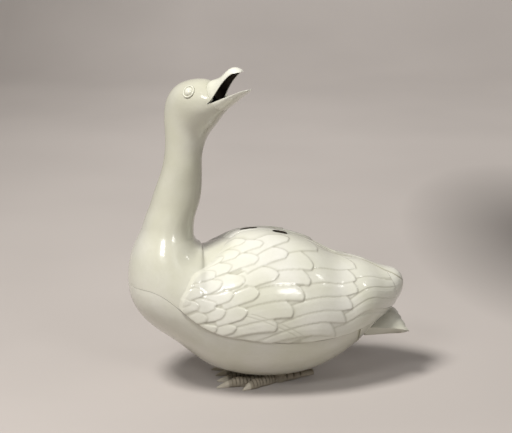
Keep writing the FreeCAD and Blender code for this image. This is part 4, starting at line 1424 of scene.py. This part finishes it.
# The shank at the knuckle and at the heel: half width; its sole and top at the heel
SHANK_HALF_WIDTHS, HEEL_HEIGHTS = (0.0048, 0.00375), (0.0028, 0.0078)
# Scutes: spacing on a toe, number on the shank, depth, and where they end
SCUTE_SPACING, SHANK_SCUTES, SCUTE_DEPTH = 0.0034, 5, 0.0005
SCUTE_SHARES, CLAW_SHARES = ((0.04, 0.1), (0.74, 0.8)), (0.80, 0.84)
# How dark the hollows between the scutes are, how strong the painted shadow at the sole is and how
# high it reaches, and how dark the web is
SCUTE_DIRT, SOLE_DIRT, DIRT_HEIGHT, WEB_DIRT = 0.9, 0.5, 0.0022, 0.35
# The stump: reach above the belly, radius below and above
LEG_REACH, LEG_RADII = 0.010, (0.0055, 0.0052)
# The web: height at the knuckle, fall, height and count of its waves, and how
# hollow its front edge is
WEB_HEIGHT, WEB_FALL, WEB_WAVE, WEB_WAVES = 0.004, 0.0014, 0.0002, 60
WEB_HOLLOW_SHARE = 0.13


def limb_grid(start, heading, length, rows, scutes, claws=False):
    """Flat-soled limb: grid of points with values for darkening, painted shadow at the sole and
    claws for each.
    """
    rows = np.array(rows)
    share = np.linspace(0, 1, 90)[:, None]
    half, low, high = np.moveaxis(spline(rows[:, 0], rows[:, 1:])(share), -1, 0)
    angle = np.linspace(0, 2 * math.pi, 41)[None, :]
    ripple = (0.5 + 0.5 * np.cos(share * scutes * 2 * math.pi)) ** 6
    ripple = ripple * soft(share, *SCUTE_SHARES[0]) * (1 - soft(share, *SCUTE_SHARES[1]))
    upper = soft(np.cos(angle), -0.5, 0.3)
    dent = SCUTE_DEPTH * ripple * upper
    turn = math.radians(heading)
    ahead = np.array([math.cos(turn), math.sin(turn), 0])
    across = np.array([-math.sin(turn), math.cos(turn), 0])
    side = (half - dent) * np.sin(angle)
    rise = np.maximum((low + high) / 2 + ((high - low) / 2 - dent) * np.cos(angle), 0.0)
    points = (start + share[..., None] * length * ahead + side[..., None] * across
              + rise[..., None] * np.array([0, 0, 1.0]))
    # Painted shadow near the floor at the sole, and darker hollows between the scutes
    sole = 1 - soft(rise, 0.0, DIRT_HEIGHT)
    dirt = np.clip(ripple * upper * SCUTE_DIRT + sole * SOLE_DIRT, 0, 1)
    claw = np.broadcast_to(soft(share, *CLAW_SHARES) * claws, dirt.shape)
    return (add_pole(add_pole(points), end=0),
            *(np.pad(values, ((1, 1), (0, 0)), mode="edge") for values in (dirt, claw)))


class CENSER_OT_feet(bpy.types.Operator):
    """Build both feet: stump, shank, three clawed toes and the web."""
    bl_idname = "censer.feet"
    bl_label = "Feet"

    def execute(self, context):
        parts = ["leg", "tarsus", *(toe + "_toe" for toe in TOES), "web"]
        for name in ("left", "right"):
            bm = self.left_foot()
            if name == "right":
                bmesh.ops.mirror(bm, geom=bm.verts[:] + bm.edges[:] + bm.faces[:], axis="Y",
                                 merge_dist=-1)
                half = [v for v in bm.verts if v.co.y < 0]
                bmesh.ops.delete(bm, geom=half, context="VERTS")
            finish_piece(finish_mesh(bm, name + "_foot", FOOT_CREASE), [biscuit()], "base",
                         [f"{name}_{part}" for part in parts])
        return {"FINISHED"}

    def left_foot(self):
        foot = bpy.context.scene.censer_foot
        knuckle = np.array([body_point(KNUCKLE_ALONG_SHARE, 0)[0], -foot.spacing / 2, 0.0])
        high = foot.toe_height
        rows = [(along, width * foot.toe_width / 2, SOLE_SHARE * height * high, height * high)
                for along, width, height in TOE_SHARES]
        parts = [limb_grid(knuckle, FOOT_HEADING + turn, length, rows,
                           round(length / SCUTE_SPACING), True)
                 for length, turn in TOES.values()]
        wide, narrow = SHANK_HALF_WIDTHS
        shank = [(along, wide + mix * (narrow - wide),
                  SOLE_SHARE * high * (1 - mix) + HEEL_HEIGHTS[0] * mix,
                  high * (1 - mix) + HEEL_HEIGHTS[1] * mix) for along, mix in TARSUS_SHARES]
        parts.append(limb_grid(knuckle, SHANK_HEADING, foot.shank, shank, SHANK_SCUTES))
        bm = bmesh.new()
        for points, dirt, claw in parts:
            weld(bm, add_grid(bm, points, dirt=dirt, claw=claw))
        height = body().stand + LEG_REACH
        leg = bmesh.ops.create_cone(bm, cap_ends=True, segments=48, radius1=LEG_RADII[0],
                                    radius2=LEG_RADII[1], depth=height)["verts"]
        bmesh.ops.translate(bm, vec=Vector(knuckle) + Vector((0, 0, height / 2)), verts=leg)
        self.web(bm, knuckle)
        return bm

    def web(self, bm, knuckle):
        """The skin between the toes, with hollow front edges."""
        headings, reaches = [], []
        order = ["inner", "middle", "outer"]
        t = np.linspace(0, 1, 9)
        for one, other in zip(order, order[1:]):
            (long_a, turn_a), (long_b, turn_b) = TOES[one], TOES[other]
            a, b = WEB_SHARES[one] * long_a, WEB_SHARES[other] * long_b
            headings.append(turn_a + (turn_b - turn_a) * t)
            reaches.append((a + (b - a) * t) * (1 - WEB_HOLLOW_SHARE * 4 * t * (1 - t)))
        heading = np.radians(FOOT_HEADING + np.concatenate(headings))
        share = np.linspace(0, 1, 24)[:, None]
        x = knuckle[0] + share * np.concatenate(reaches) * np.cos(heading)
        y = knuckle[1] + share * np.concatenate(reaches) * np.sin(heading)
        z = WEB_HEIGHT - WEB_FALL * share ** 2 + WEB_WAVE * np.cos(share * WEB_WAVES)
        for height in (z, 0.0):
            points = np.stack([x, y, np.broadcast_to(height, x.shape)], axis=-1)
            weld(bm, add_grid(bm, points, dirt=WEB_DIRT))
        bridge_rims(bm)


# ---------------------------------------------------------------- studio

TARGET = Vector((-0.01065, 0.0, 0.1468))
AZIMUTH, ELEVATION, DISTANCE, LENS, FILM = -8.0, 15.0, 1.221, 100.0, 36.0
PHOTO_SIZE = (512, 433)


def direction(azimuth, elevation):
    """Unit vector from the object, with azimuth 0 toward the viewer at -Y."""
    a, e = math.radians(azimuth), math.radians(elevation)
    return Vector((math.sin(a) * math.cos(e), -math.cos(a) * math.cos(e), math.sin(e)))


def pixel_ray(pixel):
    """Start and direction of the ray through a pixel of the photograph."""
    back = direction(AZIMUTH, ELEVATION)
    right = Vector((0, 0, 1)).cross(back).normalized()
    up = back.cross(right)
    focal = LENS / FILM * PHOTO_SIZE[0]
    ray = (-back + right * ((pixel[0] - PHOTO_SIZE[0] / 2) / focal)
           + up * ((PHOTO_SIZE[1] / 2 - pixel[1]) / focal))
    return TARGET + back * DISTANCE, ray.normalized()


WARM_WHITE = (1.0, 0.985, 0.96)
# Each lamp: azimuth, elevation, distance, size, power, colour
LAMPS = {
    "key": (-58, 61, 1.9, (0.5, 0.5), 46.5, WARM_WHITE),
    "window_left": (-34, 37, 1.4, (0.38, 0.20), 4.2, (1, 1, 1)),
    "window_right": (22, 28, 1.4, (0.34, 0.26), 2.9, (1, 1, 1)),
    "window_side": (76, 39, 1.4, (0.10, 0.16), 0.6, (1, 1, 1)),
    "wall": (0, 60, 2.4, (3.0, 1.0), 4.0, (1.0, 0.97, 0.94)),
}
SKY_COLOUR, SKY_STRENGTH = (0.40, 0.37, 0.34, 1), 0.20
# The sweep: reach toward the viewer, half width, where its bend starts, radii of
# the bend and height
SWEEP_FRONT, SWEEP_SIDE, SWEEP_BEND, SWEEP_RADIUS, SWEEP_TOP = 2.5, 3.0, 1.6, 0.8, 3.5
BACKDROP_SHADE, BACKDROP_ROUGHNESS = 0.93, 0.9
# The painted soft shadow on the sweep: centre, radii, strength, colour
SHADE_PLACE, SHADE_RADII, SHADE_STRENGTH = (0.34, 0.45), (0.16, 0.36), 0.76
SHADE_COLOUR = (0.05, 0.045, 0.04, 1)
# The sweep's own light: from and to which depth and side, and how strong there
GLOW_DEPTHS, GLOW_STRENGTHS = (-0.1, 1.0), (0.08, 0.52)
GLOW_SIDES, GLOW_SIDE_SHARES = (-0.55, -0.15), (0.40, 1.0)


def lamp(name, azimuth, elevation, distance, size, power, colour):
    light = bpy.data.lights.new(name, "AREA")
    light.shape = "RECTANGLE"
    light.size, light.size_y = size
    light.energy = power
    light.color = colour
    made = bpy.data.objects.new(name, light)
    bpy.context.scene.collection.objects.link(made)
    toward = direction(azimuth, elevation)
    made.location = TARGET + toward * distance
    made.rotation_euler = toward.to_track_quat("Z", "Y").to_euler()
    made.visible_glossy = name != "key"


class CENSER_OT_stage(bpy.types.Operator):
    """Build the backdrop, the lamps and the camera."""
    bl_idname = "censer.stage"
    bl_label = "Stage"

    def execute(self, context):
        scene = context.scene
        self.backdrop()
        for name, values in LAMPS.items():
            lamp(name, *values)
        world = bpy.data.worlds.new("studio")
        scene.world = world
        world.use_nodes = True
        feed(world.node_tree, world.node_tree.nodes["Background"],
             {"Color": SKY_COLOUR, "Strength": SKY_STRENGTH})
        scene.view_settings.view_transform = "Standard"
        camera = bpy.data.objects.new("camera", bpy.data.cameras.new("camera"))
        scene.collection.objects.link(camera)
        camera.data.lens, camera.data.sensor_width = LENS, FILM
        back = direction(AZIMUTH, ELEVATION)
        camera.location = TARGET + back * DISTANCE
        camera.rotation_euler = back.to_track_quat("Z", "Y").to_euler()
        scene.camera = camera
        return {"FINISHED"}

    def backdrop(self):
        """A floor that curves up into a wall behind the object."""
        bend = np.linspace(0, math.pi / 2, 25)
        far = np.concatenate([[-SWEEP_FRONT, 0.0, SWEEP_BEND / 2],
                              SWEEP_BEND + SWEEP_RADIUS * np.sin(bend),
                              [SWEEP_BEND + SWEEP_RADIUS]])[:, None]
        up = np.concatenate([[0.0] * 3, SWEEP_RADIUS * (1 - np.cos(bend)), [SWEEP_TOP]])[:, None]
        side = np.linspace(-SWEEP_SIDE, SWEEP_SIDE, 9)
        lean = math.radians(AZIMUTH)
        bm = bmesh.new()
        add_grid(bm, np.stack([side * math.cos(lean) - far * math.sin(lean),
                               side * math.sin(lean) + far * math.cos(lean),
                               np.broadcast_to(up, (len(far), len(side)))], axis=-1))
        made = finish_mesh(bm, "backdrop", SOFT_CREASE)
        made.data.materials.append(self.backdrop_material(lean))

    def backdrop_material(self, lean):
        """Mottled paper with a painted soft shadow, which glows more with the distance."""
        material = bpy.data.materials.new("Backdrop")
        material.use_nodes = True
        tree = material.node_tree
        place = object_place(tree)
        cloud = remap(tree, noise(tree, place, 3.0), 0.3, 0.7)
        dark = tuple(BACKDROP_SHADE * c for c in look().backdrop) + (1,)
        plain = blend(tree, cloud, (*look().backdrop, 1), dark)
        turned = add_node(tree, "ShaderNodeMapping", {
            "Vector": place, "Rotation": (0, 0, -lean), "Scale": (1, 1, 0)}).outputs["Vector"]
        scaled = add_node(tree, "ShaderNodeVectorMath",
                          {0: turned, 1: (*(1 / r for r in SHADE_RADII), 0)},
                          operation="MULTIPLY").outputs[0]
        centre = (*(c / r for c, r in zip(SHADE_PLACE, SHADE_RADII)), 0)
        away = add_node(tree, "ShaderNodeVectorMath", {0: scaled, 1: centre},
                        operation="DISTANCE").outputs["Value"]
        shade = remap(tree, away, 0.1, 1.1, SHADE_STRENGTH, 0.0)
        colour = blend(tree, shade, plain, SHADE_COLOUR)
        aside, depth, _ = add_node(tree, "ShaderNodeSeparateXYZ", {"Vector": turned}).outputs
        glow = maths(tree, "MULTIPLY", remap(tree, depth, *GLOW_DEPTHS, *GLOW_STRENGTHS),
                     remap(tree, aside, *GLOW_SIDES, *GLOW_SIDE_SHARES))
        feed(tree, tree.nodes["Principled BSDF"], {
            "Base Color": colour, "Roughness": BACKDROP_ROUGHNESS, "Emission Color": colour,
            "Emission Strength": glow})
        return material


OPERATORS = [CENSER_OT_body, CENSER_OT_bill, CENSER_OT_eyes, CENSER_OT_wings, CENSER_OT_tail,
             CENSER_OT_feet, CENSER_OT_stage]


class CENSER_PT_panel(bpy.types.Panel):
    """Buttons and sizes of the censer."""
    bl_label = "Goose Censer"
    bl_idname = "CENSER_PT_panel"
    bl_space_type = "VIEW_3D"
    bl_region_type = "UI"
    bl_category = "Goose Censer"

    def draw(self, context):
        for operator in OPERATORS:
            self.layout.operator(operator.bl_idname)
        for name, group in SETTINGS.items():
            box = self.layout.box()
            for prop in group.__annotations__:
                box.prop(getattr(context.scene, name), prop)


def register():
    for group in SETTINGS.values():
        bpy.utils.register_class(group)
    for name, group in SETTINGS.items():
        setattr(bpy.types.Scene, name, PointerProperty(type=group))
    for cls in [*OPERATORS, CENSER_PT_panel]:
        bpy.utils.register_class(cls)


def unregister():
    for cls in reversed([*OPERATORS, CENSER_PT_panel]):
        bpy.utils.unregister_class(cls)
    for name, group in SETTINGS.items():
        delattr(bpy.types.Scene, name)
        bpy.utils.unregister_class(group)


def main():
    register()
    bpy.ops.censer.body()
    bpy.ops.censer.bill()
    bpy.ops.censer.eyes()
    bpy.ops.censer.wings()
    bpy.ops.censer.tail()
    bpy.ops.censer.feet()
    bpy.ops.censer.stage()


if __name__ == "__main__":
    main()
